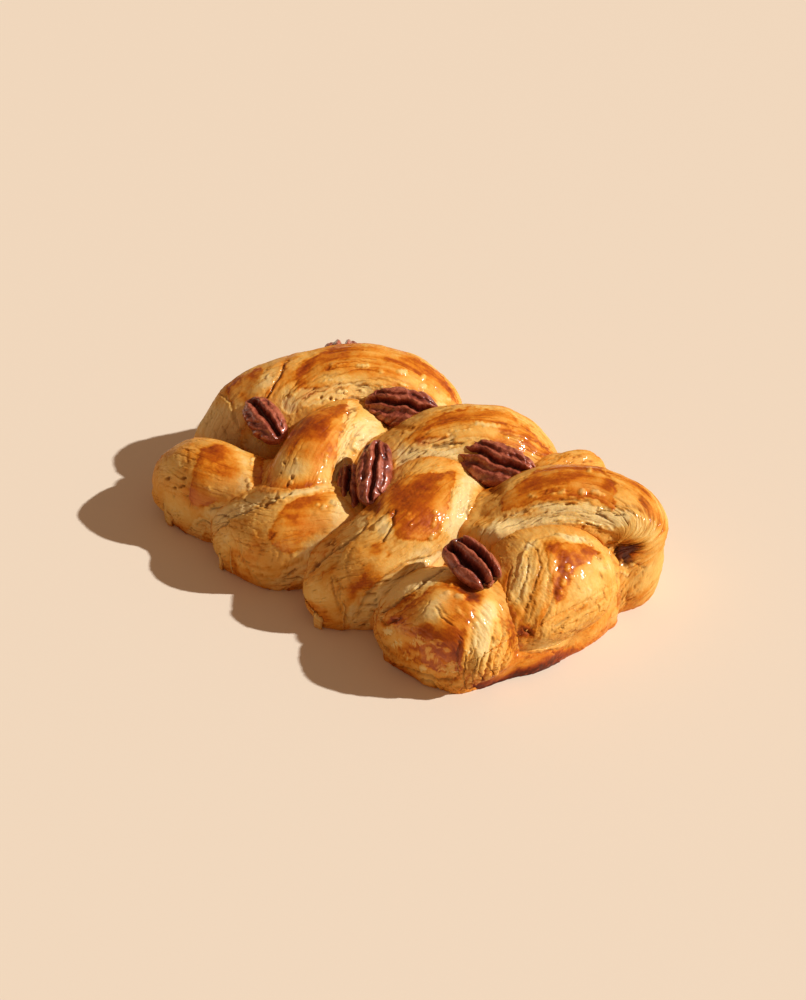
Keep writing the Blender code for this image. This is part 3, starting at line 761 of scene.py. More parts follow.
                    (452, 668, 8), (398, 644, 6), (428, 649, 4), (466, 651, 5), (424, 667, 5),
                    (440, 668, 5), (386, 632, 5)],
        "beads": [(445, 594, 450, 594, 2, 1.8), (456, 597, 461, 598, 2, 2.6), (464, 594, 467, 594, 1, 2.2),
                  (457, 606, 462, 616, 4, 1.6), (452, 584, 460, 588, 3, 1.6), (480, 598, 486, 600, 2, 1.8)],
        "deep": [(452, 636, 17, 8, -5, 0.34), (425, 630, 10, 7, -30, 0.28), (455, 652, 8, 9, 0, 0.3),
                 (430, 654, 24, 14, 0, 0.16), (402, 654, 14, 8, 30, 0.16), (456, 584, 12, 8, -20, 0.28),
                 (400, 668, 24, 3, 35, 0.2), (512, 640, 6, 26, -5, 0.2), (472, 594, 14, 7, 30, 0.55),
                 (402, 602, 18, 4, -35, 0.3), (393, 622, 12, 3, -15, 0.3)],
        "pale": [(482, 636, 12, 28, 10, 0.34), (436, 604, 20, 9, -38, 0.34), (490, 612, 8, 12, 0, 0.24),
                 (428, 682, 9, 5, 20, 0.16), (398, 634, 14, 8, 40, 0.12), (430, 618, 20, 6, -20, 0.2),
                 (415, 581, 42, 10, -22, 0.46)],
        "amber": [(452, 600, 14, 12, 0, 0.7), (445, 652, 12, 12, 0, 0.5)],
    },
    "nearEnd": {
        "sections": [(45, 1, 15.5, 12, 9.5), (52, -1.2, 17.8, 16, 12), (58.5, -3.2, 16, 19, 12),
                     (62.3, -3.9, 12, 18.5, 9.5)],
        "bake": 0.36, "cracked": 0.4, "banded": 0.4,
        "glazed": [[(545, 548), (570, 540), (600, 552), (590, 562), (574, 566), (566, 596), (556, 604),
                    (552, 580)]],
        "pleats": [([(522, 540), (548, 534), (568, 560), (566, 600), (548, 640), (522, 652), (500, 644),
                    (503, 600)], 105, 5, 0.1, 0.32),
                   ([(566, 600), (614, 590), (600, 625), (560, 645), (540, 640)], 150, 8, 0, 0.25)],
        "cuts": [([(536, 546), (541, 564), (533, 592), (524, 612)], 1.2, 0.55),
                 ([(546, 560), (550, 580), (542, 608)], 1.1, 0.45),
                 ([(556, 588), (548, 612), (540, 626)], 1.4, 0.6),
                 ([(529, 556), (527, 578), (514, 606)], 1.2, 0.5),
                 ([(512, 566), (506, 590), (503, 610)], 1.4, 0.6), ([(535, 600), (528, 622)], 1.2, 0.5),
                 ([(620, 562), (624, 584), (620, 604)], 1.2, 0.5), ([(600, 572), (603, 580)], 1.4, 0.6),
                 ([(598, 604), (600, 612), (606, 612)], 1.4, 0.5), ([(617, 574), (616, 583)], 1.4, 0.5),
                 ([(552, 628), (568, 618)], 1.4, 0.5), ([(578, 622), (592, 612)], 1.3, 0.3),
                 ([(604, 592), (607, 600)], 1.4, 0.4), ([(528, 544), (540, 537), (556, 533)], 1.4, 0.4),
                 ([(506, 650), (522, 656), (546, 652), (574, 646)], 1.8, 0.6),
                 ([(524, 628), (532, 636)], 3.0, 0.8)],
        "ridges": [([(525, 554), (520, 578), (510, 600)], 7, 0.45),
                   ([(556, 534), (580, 538), (604, 548), (618, 564)], 4, 0.4)],
        "beads": [(566, 564, 568, 570, 2, 2.2), (570, 576, 572, 577, 1, 1.8), (564, 580, 562, 586, 3, 2.0),
                  (560, 591, 561, 593, 1, 2.4), (586, 588, 592, 590, 2, 1.2)],
        "deep": [(574, 560, 12, 9, 0, 0.22), (556, 550, 12, 6, 45, 0.36), (565, 566, 6, 12, -10, 0.42),
                 (589, 552, 7, 4, 10, 0.3), (559, 590, 4, 12, 12, 0.4), (553, 657, 24, 5, -14, 0.6),
                 (526, 631, 8, 7, 0, 0.5), (541, 616, 4, 12, 20, 0.26), (537, 588, 3, 24, 12, 0.14),
                 (504, 584, 4, 20, 15, 0.24), (518, 612, 10, 9, 20, 0.18), (600, 620, 30, 5, -35, 0.1),
                 (520, 645, 16, 5, 0, 0.25)],
        "pale": [(522, 576, 13, 24, 12, 0.24), (572, 538, 20, 4, 12, 0.34), (530, 545, 8, 5, -20, 0.26),
                 (590, 590, 14, 16, 0, 0.14), (565, 622, 18, 6, -30, 0.14), (546, 582, 4, 24, 10, 0.1),
                 (604, 566, 10, 6, 30, 0.16), (540, 645, 24, 5, 0, 0.16)],
    },
    "turn2": {
        "sections": [(33.5, 38, 6, 6, 9), (33.3, 36.5, 15, 5, 11.7), (31.5, 31, 17, 6, 11.5),
                     (31, 22, 15, 7, 10)],
        "bake": 0.42, "small": True, "torn": 0.4, "cracked": 1.5,
    },
    "tail": {
        "sections": [(-62, 12, 5, 9, 9), (-58, 18, 8, 10, 10), (-52, 26, 7, 10, 10)],
        "bake": 0.42, "small": True,
    },
    "turn1": {
        "sections": [(-17, 33, 5, 10, 8), (-15, 31, 9, 10, 10), (-10, 25, 11, 10, 10), (-6, 18, 11, 9, 9)],
        "bake": 0.42, "small": True,
    },
    "sole": {
        "sections": [(48, -30.3, 3, 9, 6), (54, -23.8, 3.6, 8, 6), (58.2, -15.3, 3.3, 7, 5),
                     (60.6, -5.8, 3, 6, 4), (61.2, 3, 3, 5.6, 4), (63, 12, 3, 5.2, 4)],
        # its dark colour, darker foot and the darker oval on it are partly the dark syrup of its rim and
        # partly painted shade of the undercut below the near end
        "bake": 0.5, "small": True, "darkest": 1.0, "foot": 0.25, "torn": 0.4,
        "beads": [(486, 690, 572, 656, 16, 1.1)],
        "deep": [(528, 676, 58, 9, -24, 0.36)],
        "pale": [(612, 620, 18, 12, 0, 0.3)],
    },
    "core": {
        "sections": [(-56, -8, 5, 14, 9), (-25, -3, 6, 30, 10), (5, -3, 6, 33, 11), (35, -2, 6, 32, 10),
                     (54, -2, 5, 22, 9)],
        "bake": 0.2, "small": True,
    },
}

# painted shadows in the gaps beside the pecans, which also sink the skin a little there: ovals, as on a
# strand
gaps = [(362, 478, 3, 26, 8, 0.9), (372, 506, 9, 8, -20, 0.9), (492, 487, 11, 7, 15, 0.9),
        (276, 432, 9, 5, -30, 0.5), (402, 427, 12, 3, 10, 0.5), (470, 590, 14, 7, 38, 0.6),
        (268, 438, 7, 3, 20, 0.5)]

# the dough's shape, in mm where nothing else is said
dough = {
    "ball": (75, 62, 3), "smallBall": (52, 40, 2),  # segments, rings and cuts
    "sunk": 5.0,  # how far a strand runs below the ground before it is made flat
    "crestCrowding": 0.38, "endCrowding": 0.5,  # how much its faces crowd there
    "crestRoundness": 2.4, "flankRoundness": 3.0, "endRoundness": 0.8,
    "endFade": 3,  # how quickly the relief grows from the very ends
    "swelling": 0.6,
    "fillet": (1.3, 4.0),  # how far and how wide a strand swells where it touches another
    "drowned": (-5, -2),  # the room at which a point inside another strand stops doing so
    "leafPitch": 0.85, "leafStretch": (12, 3.5, 7),  # along, up and across
    "sheetPitch": 2.4, "creaseWidth": 2.4,
    "footLevel": (4, 0.5), "pastDarkest": 0.35,  # the share of the bake that is left past the darkest
    "inset": 0.02,  # how far the skin stays inside the box of the solids
}
# size in mm, octaves and seed of each noise on the dough, where one octave is plain ripples
grains = {
    "swelling": (11, 1, 0), "wander": (5, 3, 20), "jitter": (1.3, 2, 24), "wobble": (2.2, 2, 26),
    "blur": (12, 2, 11), "ragged": (4.0, 4, 40), "spikes": (1.9, 1, 41), "smallSpikes": (0.9, 1, 42),
    "streaks": (2.0, 3, 44), "wrinkles": (2.2, 1, 47), "wrinkledParts": (7, 1, 48),
    "cracks": (2.6, 1, 120), "crackedParts": (7, 1, 121), "blisters": (2.2, 3, 50), "grit": (0.6, 2, 60),
    "drift": (9, 3, 70), "cells": (3.2, 3, 80), "blotches": (5, 4, 90),
    "leafBend": (1.0, 1, 0), "leafWave": (0.4, 1, 3), "leafShake": (0.12, 1, 4),
    "leafStrength": (1.0, 1, 5), "leafGap": (0.7, 1, 9), "leafTone": (0.9, 1, 13),
    "sheetBend": (6, 3, 100), "sheetFray": (1.5, 1, 103), "smallFray": (0.7, 1, 104),
    "sheetTone": (1.0, 1, 110),
}
# how far each layer of the surface stands out, in mm
heights = {
    "ridge": 1.0, "hills": 1.0, "humps": 1.0, "bare": -0.2, "lip": 0.10, "brim": 0.05, "leaves": 0.20,
    "gap": -0.35, "sheets": 0.26, "wrinkles": -0.20, "cracks": -0.18, "blisters": 0.10, "grit": 0.030,
    "streaks": 0.07, "islands": 0.16, "drops": 0.42, "glazeCoat": 0.06, "cut": -0.65, "hollow": -0.8,
    "gloom": -0.6,
}
# how much each layer deepens the bake, then how much painted shade and painted highlight are added after the
# bake is capped, and how much each darkens it as a slit does. The darker and paler ovals are partly painted
# shade and painted light, and the crease's darkening is partly pooled syrup and partly painted shade where
# strands meet
bakes = {
    "drift": 0.09, "cells": 0.05, "streaks": 0.10, "dry": -0.03, "glaze": 1.0, "hiddenGlaze": 0.16,
    "deep": 1.0, "pale": -1.0, "rim": 0.16, "lip": 0.10, "brim": 0.10, "valleys": 0.22, "hilltops": -0.10,
    "sheetTone": 0.10, "sheetEdge": 0.14, "wrinkles": 0.14, "bare": -0.10, "leafTone": -0.10,
    "leafEdge": 0.14, "islands": -0.34, "cracks": 0.12, "crease": 0.08, "foot": 1.0,
}
# painted shade in the gaps beside the pecans, and painted highlight on the syrup beads, added after the cap
shades = {"gloom": 0.3, "gleam": -0.4}
# darkening as a slit does; the gaps beside the pecans, the step below each torn sheet and the lip shade are
# painted shade there
slits = {
    "gap": 0.8, "cut": 0.7, "pits": 0.8, "tears": 0.6, "valleys": 0.45, "gloom": 0.8, "lipShade": 0.3,
    "wrinkles": 0.28, "cracks": 0.5,
}


def grainAt(kind, points, seed):
    size, octaves, step = grains[kind]
    if octaves == 1:
        return ripple(points, size, seed + step)
    return cloud(points, size, octaves, seed + step)


def sway(kind, points, seed):
    # how far a noise moves a mark on the photo, right and down
    return np.stack([grainAt(kind, points, seed), grainAt(kind, points, seed + 10)], 1)


def strandForm(along, away, settings):
    # where a point lies on a strand, in mm: along is 0 to 1 from end to end, away -1 to 1 round its crest
    crowding = dough["crestCrowding"]
    away = (1 - crowding) * away + crowding * away**3
    turn = math.pi / 2 - away * math.pi
    rows = smoothRows(settings["sections"])
    spine = rows[:, :3]
    arc = np.concatenate([[0], np.cumsum(np.linalg.norm(np.diff(spine, axis=0), axis=1))])
    ends = [dough["endRoundness"] * min(row[3], row[4]) for row in (rows[0], rows[-1])]
    crowding = dough["endCrowding"]
    crowded = (1 - crowding) * along + crowding * (1 - np.cos(math.pi * along)) / 2
    walk = crowded * (arc[-1] + sum(ends)) - ends[0]
    station = np.clip(walk, 0, arc[-1])
    beyond = walk - station
    taper = np.sqrt(np.clip(1 - (beyond / np.where(beyond < 0, ends[0], ends[1])) ** 2, 0, 1))
    heading = unit(np.gradient(spine, arc, axis=0))
    level = unit(heading * (1, 1, 0))
    place, ahead, flat = (
        np.stack([np.interp(station, arc, table[:, k]) for k in range(table.shape[1])], 1)
        for table in (rows, heading, level)
    )
    ahead, flat = unit(ahead), unit(flat)
    aside = np.cross(flat, (0, 0, 1))
    upright = np.cross(aside, ahead)
    above = np.sin(turn) >= 0
    exponent = 2 / np.where(above, dough["crestRoundness"], dough["flankRoundness"])
    share = power(np.cos(turn), exponent)
    rise = power(np.sin(turn), exponent)
    across = share * place[:, 3] * taper
    height = rise * taper * np.where(above, place[:, 4], place[:, 2] + dough["sunk"])
    points = place[:, :3] + beyond[:, None] * ahead + across[:, None] * aside
    points += height[:, None] * np.where(above[:, None], upright, (0, 0, 1))
    points[:, :2] -= middle
    return SimpleNamespace(points=points, walk=walk, turn=turn, taper=taper, across=across, share=share,
                           height=height, rise=rise)


# a coarse grid on a strand, to find the room around it
probe = {"along": np.linspace(0, 1, 60), "away": np.linspace(-1, 1, 73), "smoothings": 3}


def probePoints(settings):
    along, away = (grid.ravel() for grid in np.meshgrid(probe["along"], probe["away"], indexing="ij"))
    return strandForm(along, away, settings).points


def coarseTree(names):
    # one search tree of the plain forms of several strands
    rows, columns = len(probe["along"]), len(probe["away"])
    points, faces = [], []
    for name in names:
        start = len(points)
        points += probePoints(strands[name]).tolist()
        for i, j in product(range(rows - 1), range(columns - 1)):
            corner = start + i * columns + j
            faces.append((corner, corner + 1, corner + columns + 1, corner + columns))
    return BVHTree.FromPolygons(points, faces)


def roomAround(name, along, away):
    # distance in mm from each point of a strand to the nearest other strand, negative inside it
    tree = coarseTree([other for other in strands if other not in (name, "core")])
    room = []
    for point in probePoints(strands[name]):
        spot, normal, _, distance = tree.find_nearest(Vector(point))
        room.append(math.copysign(distance, (Vector(point) - spot).dot(normal)))
    room = np.array(room).reshape(len(probe["along"]), len(probe["away"]))
    for _ in range(probe["smoothings"]):
        sides = room[:-2, 1:-1] + room[2:, 1:-1] + room[1:-1, :-2] + room[1:-1, 2:]
        room[1:-1, 1:-1] = (room[1:-1, 1:-1] * 2 + sides) / 6
    i = along * (len(probe["along"]) - 1)
    j = (away + 1) / 2 * (len(probe["away"]) - 1)
    low = np.minimum(i.astype(int), room.shape[0] - 2)
    left = np.minimum(j.astype(int), room.shape[1] - 2)
    i, j = i - low, j - left
    return ((1 - i) * ((1 - j) * room[low, left] + j * room[low, left + 1])
            + i * ((1 - j) * room[low + 1, left] + j * room[low + 1, left + 1]))


def layStrand(obj, name, settings, seed):
    # the plain form of a strand, swollen a little here and there and where it touches another
    unitBall = pointsOf(obj)
    along = np.arccos(np.clip(unitBall[:, 2], -1, 1)) / math.pi
    away = np.degrees(np.arctan2(unitBall[:, 0], unitBall[:, 1])) / 180
    form = strandForm(along, away, settings)
    form.room = roomAround(name, along, away)
    movePoints(obj, form.points * mm)
    swelling = form.taper * dough["swelling"] * (grainAt("swelling", form.points, seed) - 0.4)
    depth, reach = dough["fillet"]
    touching = soft(reach, 0, form.room) * soft(*dough["drowned"], form.room)
    touching *= np.minimum(1, form.taper * dough["endFade"])
    form.points = form.points + normalsOf(obj) * (swelling + depth * touching)[:, None]
    movePoints(obj, form.points * mm)
    return form


def leaves(form, seed):
    # the leaves of the laminated dough: contour lines of the strand's height, bent by slow noise.
    # Gives where each point lies across its leaf, how far the leaf stands out, its slit and its tone
    path = np.stack([form.walk, form.height, form.across], 1) / dough["leafStretch"]
    warp = 0.9 * grainAt("leafBend", path, seed) + 0.4 * grainAt("leafWave", path, seed)
    warp += 0.15 * grainAt("leafShake", path, seed)
    pile = form.height / dough["leafPitch"] + warp * 1.8
    leaf = np.floor(pile)
    part = pile - leaf
    path = np.stack([form.walk / 9, leaf * 3.7, leaf * 1.3], 1)
    strength = 0.6 + 0.7 * grainAt("leafStrength", path, seed)
    gap = soft(0.1, 0.35, grainAt("leafGap", path, seed)) * soft(0.62, 0.80, part) * soft(1.0, 0.92, part)
    tone = grainAt("leafTone", path, seed)
    return part, strength, gap, tone


def sheets(form, seed):
    # the thin torn sheets of the skin: steps with ragged edges. Gives the place across a sheet and its tone
    path = np.stack([form.walk / 1.8, form.across, form.height], 1)
    ragged = 0.30 * np.abs(grainAt("sheetFray", form.points, seed))
    ragged += 0.16 * np.abs(grainAt("smallFray", form.points, seed))
    level = form.height / dough["sheetPitch"] + 1.2 * grainAt("sheetBend", path, seed) + ragged
    sheet = np.floor(level)
    tone = grainAt("sheetTone", np.stack([sheet * 3.7, form.walk / 9, sheet * 1.9], 1), seed)
    return level - sheet, tone


def skinLayers(form, settings, seed, outward):
    # what lies where on a strand: marks where it faces the photo's camera, general rules elsewhere
    points = form.points
    seen = inPhoto(points)
    toPhoto = outward @ photoAxes()[2]
    facing, front = (soft(*drawing[edge], toPhoto) for edge in ("facingEdge", "frontEdge"))
    wander, jitter = sway("wander", points, seed), sway("jitter", points, seed)
    wobble = np.clip(grainAt("wobble", points, seed) * 1.4, -0.8, 0.8)
    strayed, nearby = (
        seen + wander * slow + jitter * quick for slow, quick in (drawing["fieldBend"], drawing["markBend"])
    )
    grain = np.stack([form.walk / 7, form.across, form.height], 1)
    ragged = grainAt("ragged", points, seed)
    spiky = np.abs(grainAt("spikes", points, seed)) + 0.5 * np.abs(grainAt("smallSpikes", points, seed))
    on = SimpleNamespace(facing=facing, streaks=grainAt("streaks", grain, seed) * settings["banded"])

    # the glaze lies in its outlines, and over the crests on the sides that the photo doesn't show
    edge = insideAny(strayed, settings["glazed"])
    blur = 1.0 + 5.0 * soft(-0.1, 0.5, grainAt("blur", points, seed))
    drawn = soft(-1, 1, edge / blur)
    on.plain = soft(0.30, 0.50, form.rise + 0.35 * ragged)
    on.glaze = facing * drawn + (1 - facing) * on.plain
    on.glazeCoat = drawn * facing
    on.rim = (np.exp(-((edge - 0.5) / 1.1) ** 2) + 0.4 * soft(6, 1, edge) * drawn) * facing

    # bared leaves of dough, and torn sheets of skin beside them
    opened = facing * insideBands(strayed, settings["layered"]) / 5
    opened = opened + (1 - facing) * ((np.abs(form.share) - 0.8) * 3 + ragged)
    on.bare = soft(-0.25, 0.25, opened + 0.5 * wobble)
    closed = 1 - on.bare
    on.lip = soft(-0.5, -0.1, opened) * closed
    on.lipShade = on.lip * soft(0, 0.4, ragged)
    part, strength, gap, on.tone = leaves(form, seed)
    on.leaves = on.bare * strength * (part**0.7 * soft(1.0, 0.85, part) - 0.5)
    on.leafEdge, on.leafEnd = soft(0.55, 0.9, part) * on.bare, soft(0.55, 0.95, part)
    on.leafTone, on.gap = on.bare * on.tone, on.bare * gap
    step, tone = sheets(form, seed)
    torn = soft(-0.15, 0.35, ragged + settings["torn"]) * (1 - 0.7 * on.glaze) * closed
    on.sheets, on.sheetTone = torn * (step - 0.5), torn * tone
    # the step just below each sheet's edge darkens as a painted shadow of that edge
    on.sheetEdge, on.tears = torn * soft(0.8, 1.0, step), torn * soft(0.10, 0.0, step)

    # the skin's own wrinkles, cracks, blisters and grit
    wrinkles = soft(0.14, 0.0, np.abs(grainAt("wrinkles", grain, seed) + 0.25 * jitter[:, 0]))
    wrinkles *= soft(-0.3, 0.3, grainAt("wrinkledParts", points, seed))
    on.wrinkles = wrinkles * settings["banded"] * closed
    cracks = soft(0.08, 0.0, np.abs(grainAt("cracks", points, seed) + 0.4 * jitter[:, 1]))
    cracks *= soft(0.0, 0.4, grainAt("crackedParts", points, seed)) * (1 - 0.6 * on.glaze)
    on.cracks = cracks * settings["cracked"] * closed
    on.blisters = (1 + (1 - on.glaze) * 0.6) * grainAt("blisters", points, seed)
    on.grit = grainAt("grit", points, seed) * (1 - 0.5 * on.glaze)

    # the marks
    on.cut, on.brim = (layer * front for layer in strokes(nearby, settings["cuts"], wobble))
    on.ridge = strokes(nearby, settings["ridges"], wobble)[0] * front
    on.hills, on.valleys = (layer * front for layer in pleatsAt(nearby, settings["pleats"], seed + 15))
    on.hilltops = np.clip(on.hills, 0, 1)
    on.drops = beadsAt(seen + jitter * 0.5, settings["beads"], seed) * front
    on.islands = islandsAt(nearby, settings["islands"], spiky) * front
    on.pits = pitsAt(nearby, settings["pits"], jitter[:, 1]) * front
    on.humps = ovals(seen, settings["humps"]) * facing
    # the darker and paler ovals: real browning and cream, and painted shade and painted light where the sun
    # leaves a face dark
    on.deep, on.pale = (ovals(strayed, settings[kind]) * facing for kind in ("deep", "pale"))
    on.amber = np.clip(ovals(strayed, settings["amber"]) * facing, 0, 1)
    on.syrup = soft(0.25, 0.7, ovals(strayed + jitter * 2, settings["syrup"])) * facing
    on.hollow = np.maximum(on.pits, on.syrup)
    # painted highlight: the syrup beads are painted paler where no syrup pools
    on.gleam = on.drops * (1 - on.syrup)
    # darker and more amber where a strand meets another: pooled syrup, and painted shade in the crease
    on.crease = soft(dough["creaseWidth"], 0.2, form.room + 0.8 * jitter[:, 0])
    # painted shadow in the gaps beside the pecans, which also sinks the skin there
    on.gloom = np.clip(ovals(nearby, gaps), 0, 1) * facing
    return on


def addUp(amounts, layers):
    return sum(amount * layers[name] for name, amount in amounts.items())


def bakeOf(points, on, settings, seed):
    # slow drifts, crisp blotches where the glaze caught, and darker edges of sheets and leaves
    drift, cells, blotches = (grainAt(kind, points, seed) for kind in ("drift", "cells", "blotches"))
    blotches = soft(-0.1, 0.3, blotches) - 0.5
    # the paler ovals, partly painted light, also thin the glaze's darkening and its rim
    creamy = np.clip(on.pale * 3, 0, 1)
    layers = {
        **vars(on), "drift": drift, "cells": cells, "dry": 1 - on.glaze, "rim": on.rim * (1 - creamy),
        "glaze": on.glaze * (0.12 + 0.06 * cells + 0.08 * on.streaks + 0.05 * blotches) * (1 - 0.7 * creamy),
        "hiddenGlaze": (1 - on.facing) * on.plain * soft(-0.3, 0.5, drift),
        # darker and paler ovals, partly painted shade and painted light
        "deep": on.deep * (1.15 + 0.35 * cells + 0.4 * on.streaks + 0.2 * blotches),
        "pale": on.pale * (1.15 + 0.5 * on.streaks),
        "foot": settings["foot"] * soft(*dough["footLevel"], points[:, 2]),
    }
    bake = settings["bake"] + addUp(bakes, layers)
    darkest = settings["darkest"]
    bake = np.where(bake > darkest, darkest + dough["pastDarkest"] * (bake - darkest), bake)
    # after the cap: the painted shade beside the pecans and the painted highlight on the beads
    return bake + addUp(shades, layers)


def makeStrand(name, settings, seed):
    settings = {**plainStrand, **settings}
    obj = ball(name, *dough["smallBall" if settings["small"] else "ball"])
    form = layStrand(obj, name, settings, seed)
    outward = normalsOf(obj)
    on = skinLayers(form, settings, seed, outward)
    push = addUp(heights, vars(on)) * np.minimum(1, form.taper * dough["endFade"])
    points = form.points + outward * push[:, None]
    points[:, 2] = np.maximum(points[:, 2], 0)
    low, high = (np.array(corner) / mm for corner in cadBox)
    points = np.clip(points, low + dough["inset"] * (low < 0), high - dough["inset"])
    movePoints(obj, points * mm)

    leaf = on.bare * (0.8 + 0.5 * on.tone) * (1 - 0.8 * on.leafEnd)
    glaze = 0.12 + 0.6 * on.glaze * (1 - 0.7 * on.bare) + on.drops + 0.6 * on.crease
    paint(obj, "bake", np.clip(bakeOf(points, on, settings, seed), 0, 1))
    paint(obj, "leaf", np.clip(leaf, 0, 1))
    paint(obj, "slit", np.clip(addUp(slits, vars(on)), 0, 1))
    paint(obj, "syrup", on.syrup)
    paint(obj, "amber", np.clip(on.amber * on.glaze + 0.3 * on.crease, 0, 1))
    paint(obj, "glaze", np.clip(glaze, 0, 1))
    layOutUv(obj, np.stack([form.walk, form.turn * 12], 1))
    return finishPiece(obj, crust, "crust", "plait")


for k, (name, settings) in enumerate(strands.items()):
    makeStrand(name, settings, 7.0 * k)
print("dough laid out")

# middle (x, y, z) in mm, turn (heading, pitch, roll) in degrees, size (length, width, thickness) in mm, and
# the long grooves: place across, depth and width, as shares of half the width or thickness. A blunt one is
# a broken piece, with grooves that run out at its end
pecans = {
    "pecan_1": {"at": (-42.3, -13, 28), "turn": (-15, -8, 25), "size": (19, 10.5, 8),
                "grooves": [(0.12, 0.75, 0.16), (0.62, 0.2, 0.12), (-0.5, 0.22, 0.12)]},
    "pecan_2": {"at": (-15.5, 16.5, 30), "turn": (29, 0, 35), "size": (22.5, 12.5, 8.5),
                "grooves": [(0.02, 0.7, 0.13), (0.50, 0.35, 0.10), (-0.42, 0.35, 0.12)]},
    "pecan_3": {"at": (-0.6, -11, 29.5), "turn": (127, 18, -5), "size": (22, 10.5, 8.5),
                "grooves": [(-0.05, 0.6, 0.13), (0.52, 0.35, 0.12), (-0.55, 0.3, 0.12)]},
    "pecan_4": {"at": (-5.7, -16.1, 23.7), "turn": (133, 19, -8), "size": (18, 7, 6.5), "blunt": 0.65,
                "grooves": [(0.0, 0.85, 0.2), (0.6, 0.3, 0.12)]},
    "pecan_5": {"at": (22.3, 14.2, 30.0), "turn": (17, -4, 30), "size": (25, 13.5, 9),
                "grooves": [(0.06, 0.6, 0.12), (0.48, 0.35, 0.09), (-0.40, 0.40, 0.12)]},
    "pecan_6": {"at": (44.8, -21.2, 28.8), "turn": (-10, -8, 10), "size": (18, 11.5, 8), "blunt": 0.5,
                "grooves": [(-0.34, 1.0, 0.17), (0.36, 1.0, 0.17)]},
    "pecan_7": {"at": (-51, 28, 27.3), "turn": (133, -25, 0), "size": (18, 12, 8),
                "grooves": [(0.0, 0.7, 0.16), (0.5, 0.3, 0.12), (-0.5, 0.3, 0.12)]},
}
# the skin of a pecan, with sizes and depths in mm
kernel = {
    "ball": (44, 28, 3), "planRoundness": 0.85, "sideRoundness": 0.7, "crossRoundness": 0.9,
    "shut": 0.5, "open": 0.1,  # how far from a whole end, and from a broken one, the grooves fade out
    "bend": (0.16, 3), "shake": (0.05, 1.5),  # how far a groove wanders, as a share, and its waves' size
    "fade": 4,  # how long a stretch of a shallow groove is
    "foldSize": 3.4, "foldDepth": 0.45, "foldedParts": 6,  # the cross folds between its lobes
    "creaseSize": 1.3, "creaseDepth": 0.11,  # the fine wrinkles
    "lumpSize": 3.5, "lumpDepth": 0.45,
    "rimDepth": 0.07, "endDepth": 0.22,  # how far folds and grooves cut into its outline, in shares
}


def makePecan(name, settings, seed):
    obj = ball(name + "_kernel", *kernel["ball"])
    unitBall = pointsOf(obj)
    length, width, thickness = settings["size"]
    end = np.clip(unitBall[:, 2], -1, 1)
    roundOff = np.sqrt(1 - end**2)
    turn = np.arctan2(unitBall[:, 1], unitBall[:, 0])
    blunt = settings.get("blunt", kernel["planRoundness"])
    x = length / 2 * end
    y = width / 2 * roundOff**blunt * np.cos(turn)
    top = thickness / 2 * roundOff**min(blunt, kernel["sideRoundness"])
    top *= power(np.sin(turn), kernel["crossRoundness"])
    share = y / (width / 2)
    upper = soft(-0.35, 0.15, np.sin(turn))

    # long grooves that wander and fade
    flat = np.stack([x, y, np.zeros(len(x))], 1)
    (bend, bendSize), (shake, shakeSize) = kernel["bend"], kernel["shake"]
    bend = bend * ripple(flat * (0.5, 0.3, 1), bendSize, seed) + shake * ripple(flat, shakeSize, seed + 1)
    groove = np.zeros(len(x))
    fading = np.where((end > 0) & ("blunt" in settings), kernel["open"], kernel["shut"])
    for place, depth, spread in settings["grooves"]:
        fade = 0.55 + 0.45 * ripple(flat * (1, 0, 0) + place * 9, kernel["fade"], seed + 2)
        fade = fade + (1 - fade) * (depth > 0.5)
        near = np.exp(-(((share + bend * roundOff - place * roundOff**fading) / spread) ** 2))
        groove = np.maximum(groove, depth * near * fade * soft(0, 1, roundOff / fading))

    # cross folds between the lobes, fine wrinkles and lumps
    slant = np.stack([x + 1.1 * np.abs(y), y * 0.45, top * 0.45], 1)
    fold = soft(0.32, 0.0, np.abs(ripple(slant, kernel["foldSize"], seed + 4)))
    fold *= soft(0.05, 0.45, np.abs(share)) * (0.6 + 0.6 * ripple(flat, kernel["foldedParts"], seed + 5))
    crease = soft(0.25, 0.0, np.abs(ripple(np.stack([x, y, top], 1), kernel["creaseSize"], seed + 6)))
    lumps = cloud(flat, kernel["lumpSize"], 2, seed + 7)
    dip = groove * thickness / 2 + kernel["foldDepth"] * fold + kernel["creaseDepth"] * crease
    dip = (dip - kernel["lumpDepth"] * lumps) * upper * np.minimum(1, roundOff / fading)
    slim = 1 - kernel["rimDepth"] * (fold + 0.8 * lumps) * soft(0.4, 1.0, np.hypot(share, end))
    notch = 1 - kernel["endDepth"] * groove * np.abs(end) ** 3
    movePoints(obj, np.stack([x * slim * notch, y * slim, top - dip], 1) * mm)

    heading, pitch, roll = (math.radians(angle) for angle in settings["turn"])
    turned = Euler((roll, -pitch, heading), "XYZ").to_matrix().to_4x4()
    place = Vector(settings["at"]) - Vector((*middle, 0))
    obj.data.transform(Matrix.Translation(place * mm) @ turned)
    paint(obj, "hollow", np.clip(groove * 1.1 + 0.6 * fold + 0.25 * crease - 0.3 * lumps, 0, 1))
    bpy.ops.object.mode_set(mode="EDIT")
    bpy.ops.mesh.select_all(action="SELECT")
    bpy.ops.mesh.normals_make_consistent(inside=False)
    bpy.ops.object.mode_set(mode="OBJECT")
    return finishPiece(obj, toasted, "pecan", name)


for k, (name, settings) in enumerate(pecans.items()):
    makePecan(name, settings, 3.0 * k)
print("pecans made")

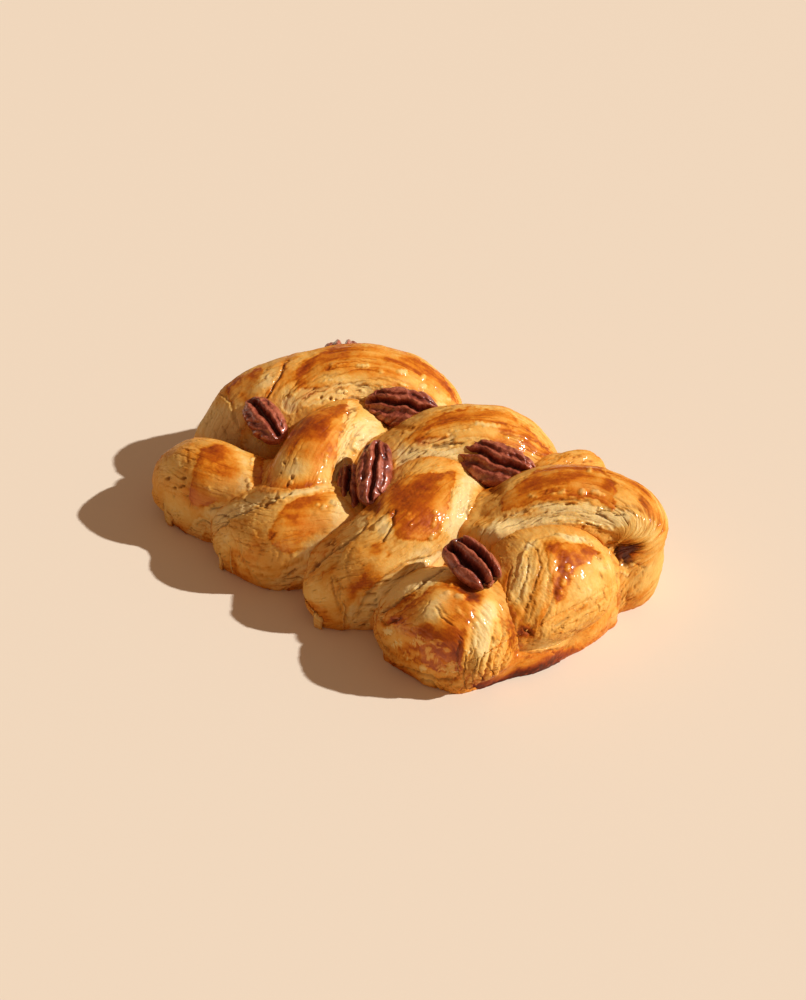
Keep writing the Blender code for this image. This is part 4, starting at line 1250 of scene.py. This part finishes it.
studio = {
    "floor": (0.80, 0.69, 0.545, 1), "floorRoughness": 0.8, "floorSize": 3,  # metres
    "sunEnergy": 4.2, "sunAngle": 1.2, "sunHeight": 37,
    "sunSide": (0.99, -0.03),  # shares of the photo's right and of straight away from the camera
    "skyStrength": 1.0, "sky": (0.30, 0.188, 0.12, 1),
    "sensor": 36,  # mm
}


def makeFloor():
    bpy.ops.object.select_all(action="DESELECT")
    bpy.ops.mesh.primitive_plane_add(size=studio["floorSize"])
    floor = bpy.context.object
    floor.name = "floor"
    fixed = {"Base Color": studio["floor"], "Roughness": studio["floorRoughness"]}
    floor.data.materials.append(newMaterial("paleFloor", fixed)[0])


def makeLight():
    right = photoAxes()[0]
    away = np.array((-right[1], right[0], 0))
    side, depth = studio["sunSide"]
    height = math.radians(studio["sunHeight"])
    level = Vector(right * side + away * depth).normalized()
    towards = level * math.cos(height) + Vector((0, 0, math.sin(height)))
    bpy.ops.object.light_add(type="SUN", location=towards)
    sun = bpy.context.object
    sun.rotation_mode = "QUATERNION"
    sun.rotation_quaternion = towards.to_track_quat("Z", "Y")
    sun.data.energy = studio["sunEnergy"]
    sun.data.angle = math.radians(studio["sunAngle"])

    world = bpy.data.worlds.new("studio")
    bpy.context.scene.world = world
    world.use_nodes = True
    sky = world.node_tree.nodes["Background"]
    sky.inputs["Color"].default_value = studio["sky"]
    sky.inputs["Strength"].default_value = studio["skyStrength"]
    bpy.context.scene.view_settings.view_transform = "Standard"


def makeCamera():
    toCamera = Vector(photoAxes()[2])
    bpy.ops.object.camera_add(location=(Vector(photo["target"]) + toCamera * photo["distance"]) * mm)
    camera = bpy.context.object
    camera.rotation_mode = "QUATERNION"
    camera.rotation_quaternion = (-toCamera).to_track_quat("-Z", "Y")
    camera.data.sensor_fit = "VERTICAL"
    camera.data.sensor_height = studio["sensor"]
    camera.data.lens = studio["sensor"] * photo["focal"] / photo["height"]
    bpy.context.scene.camera = camera


makeFloor()
makeLight()
makeCamera()
print("studio ready")
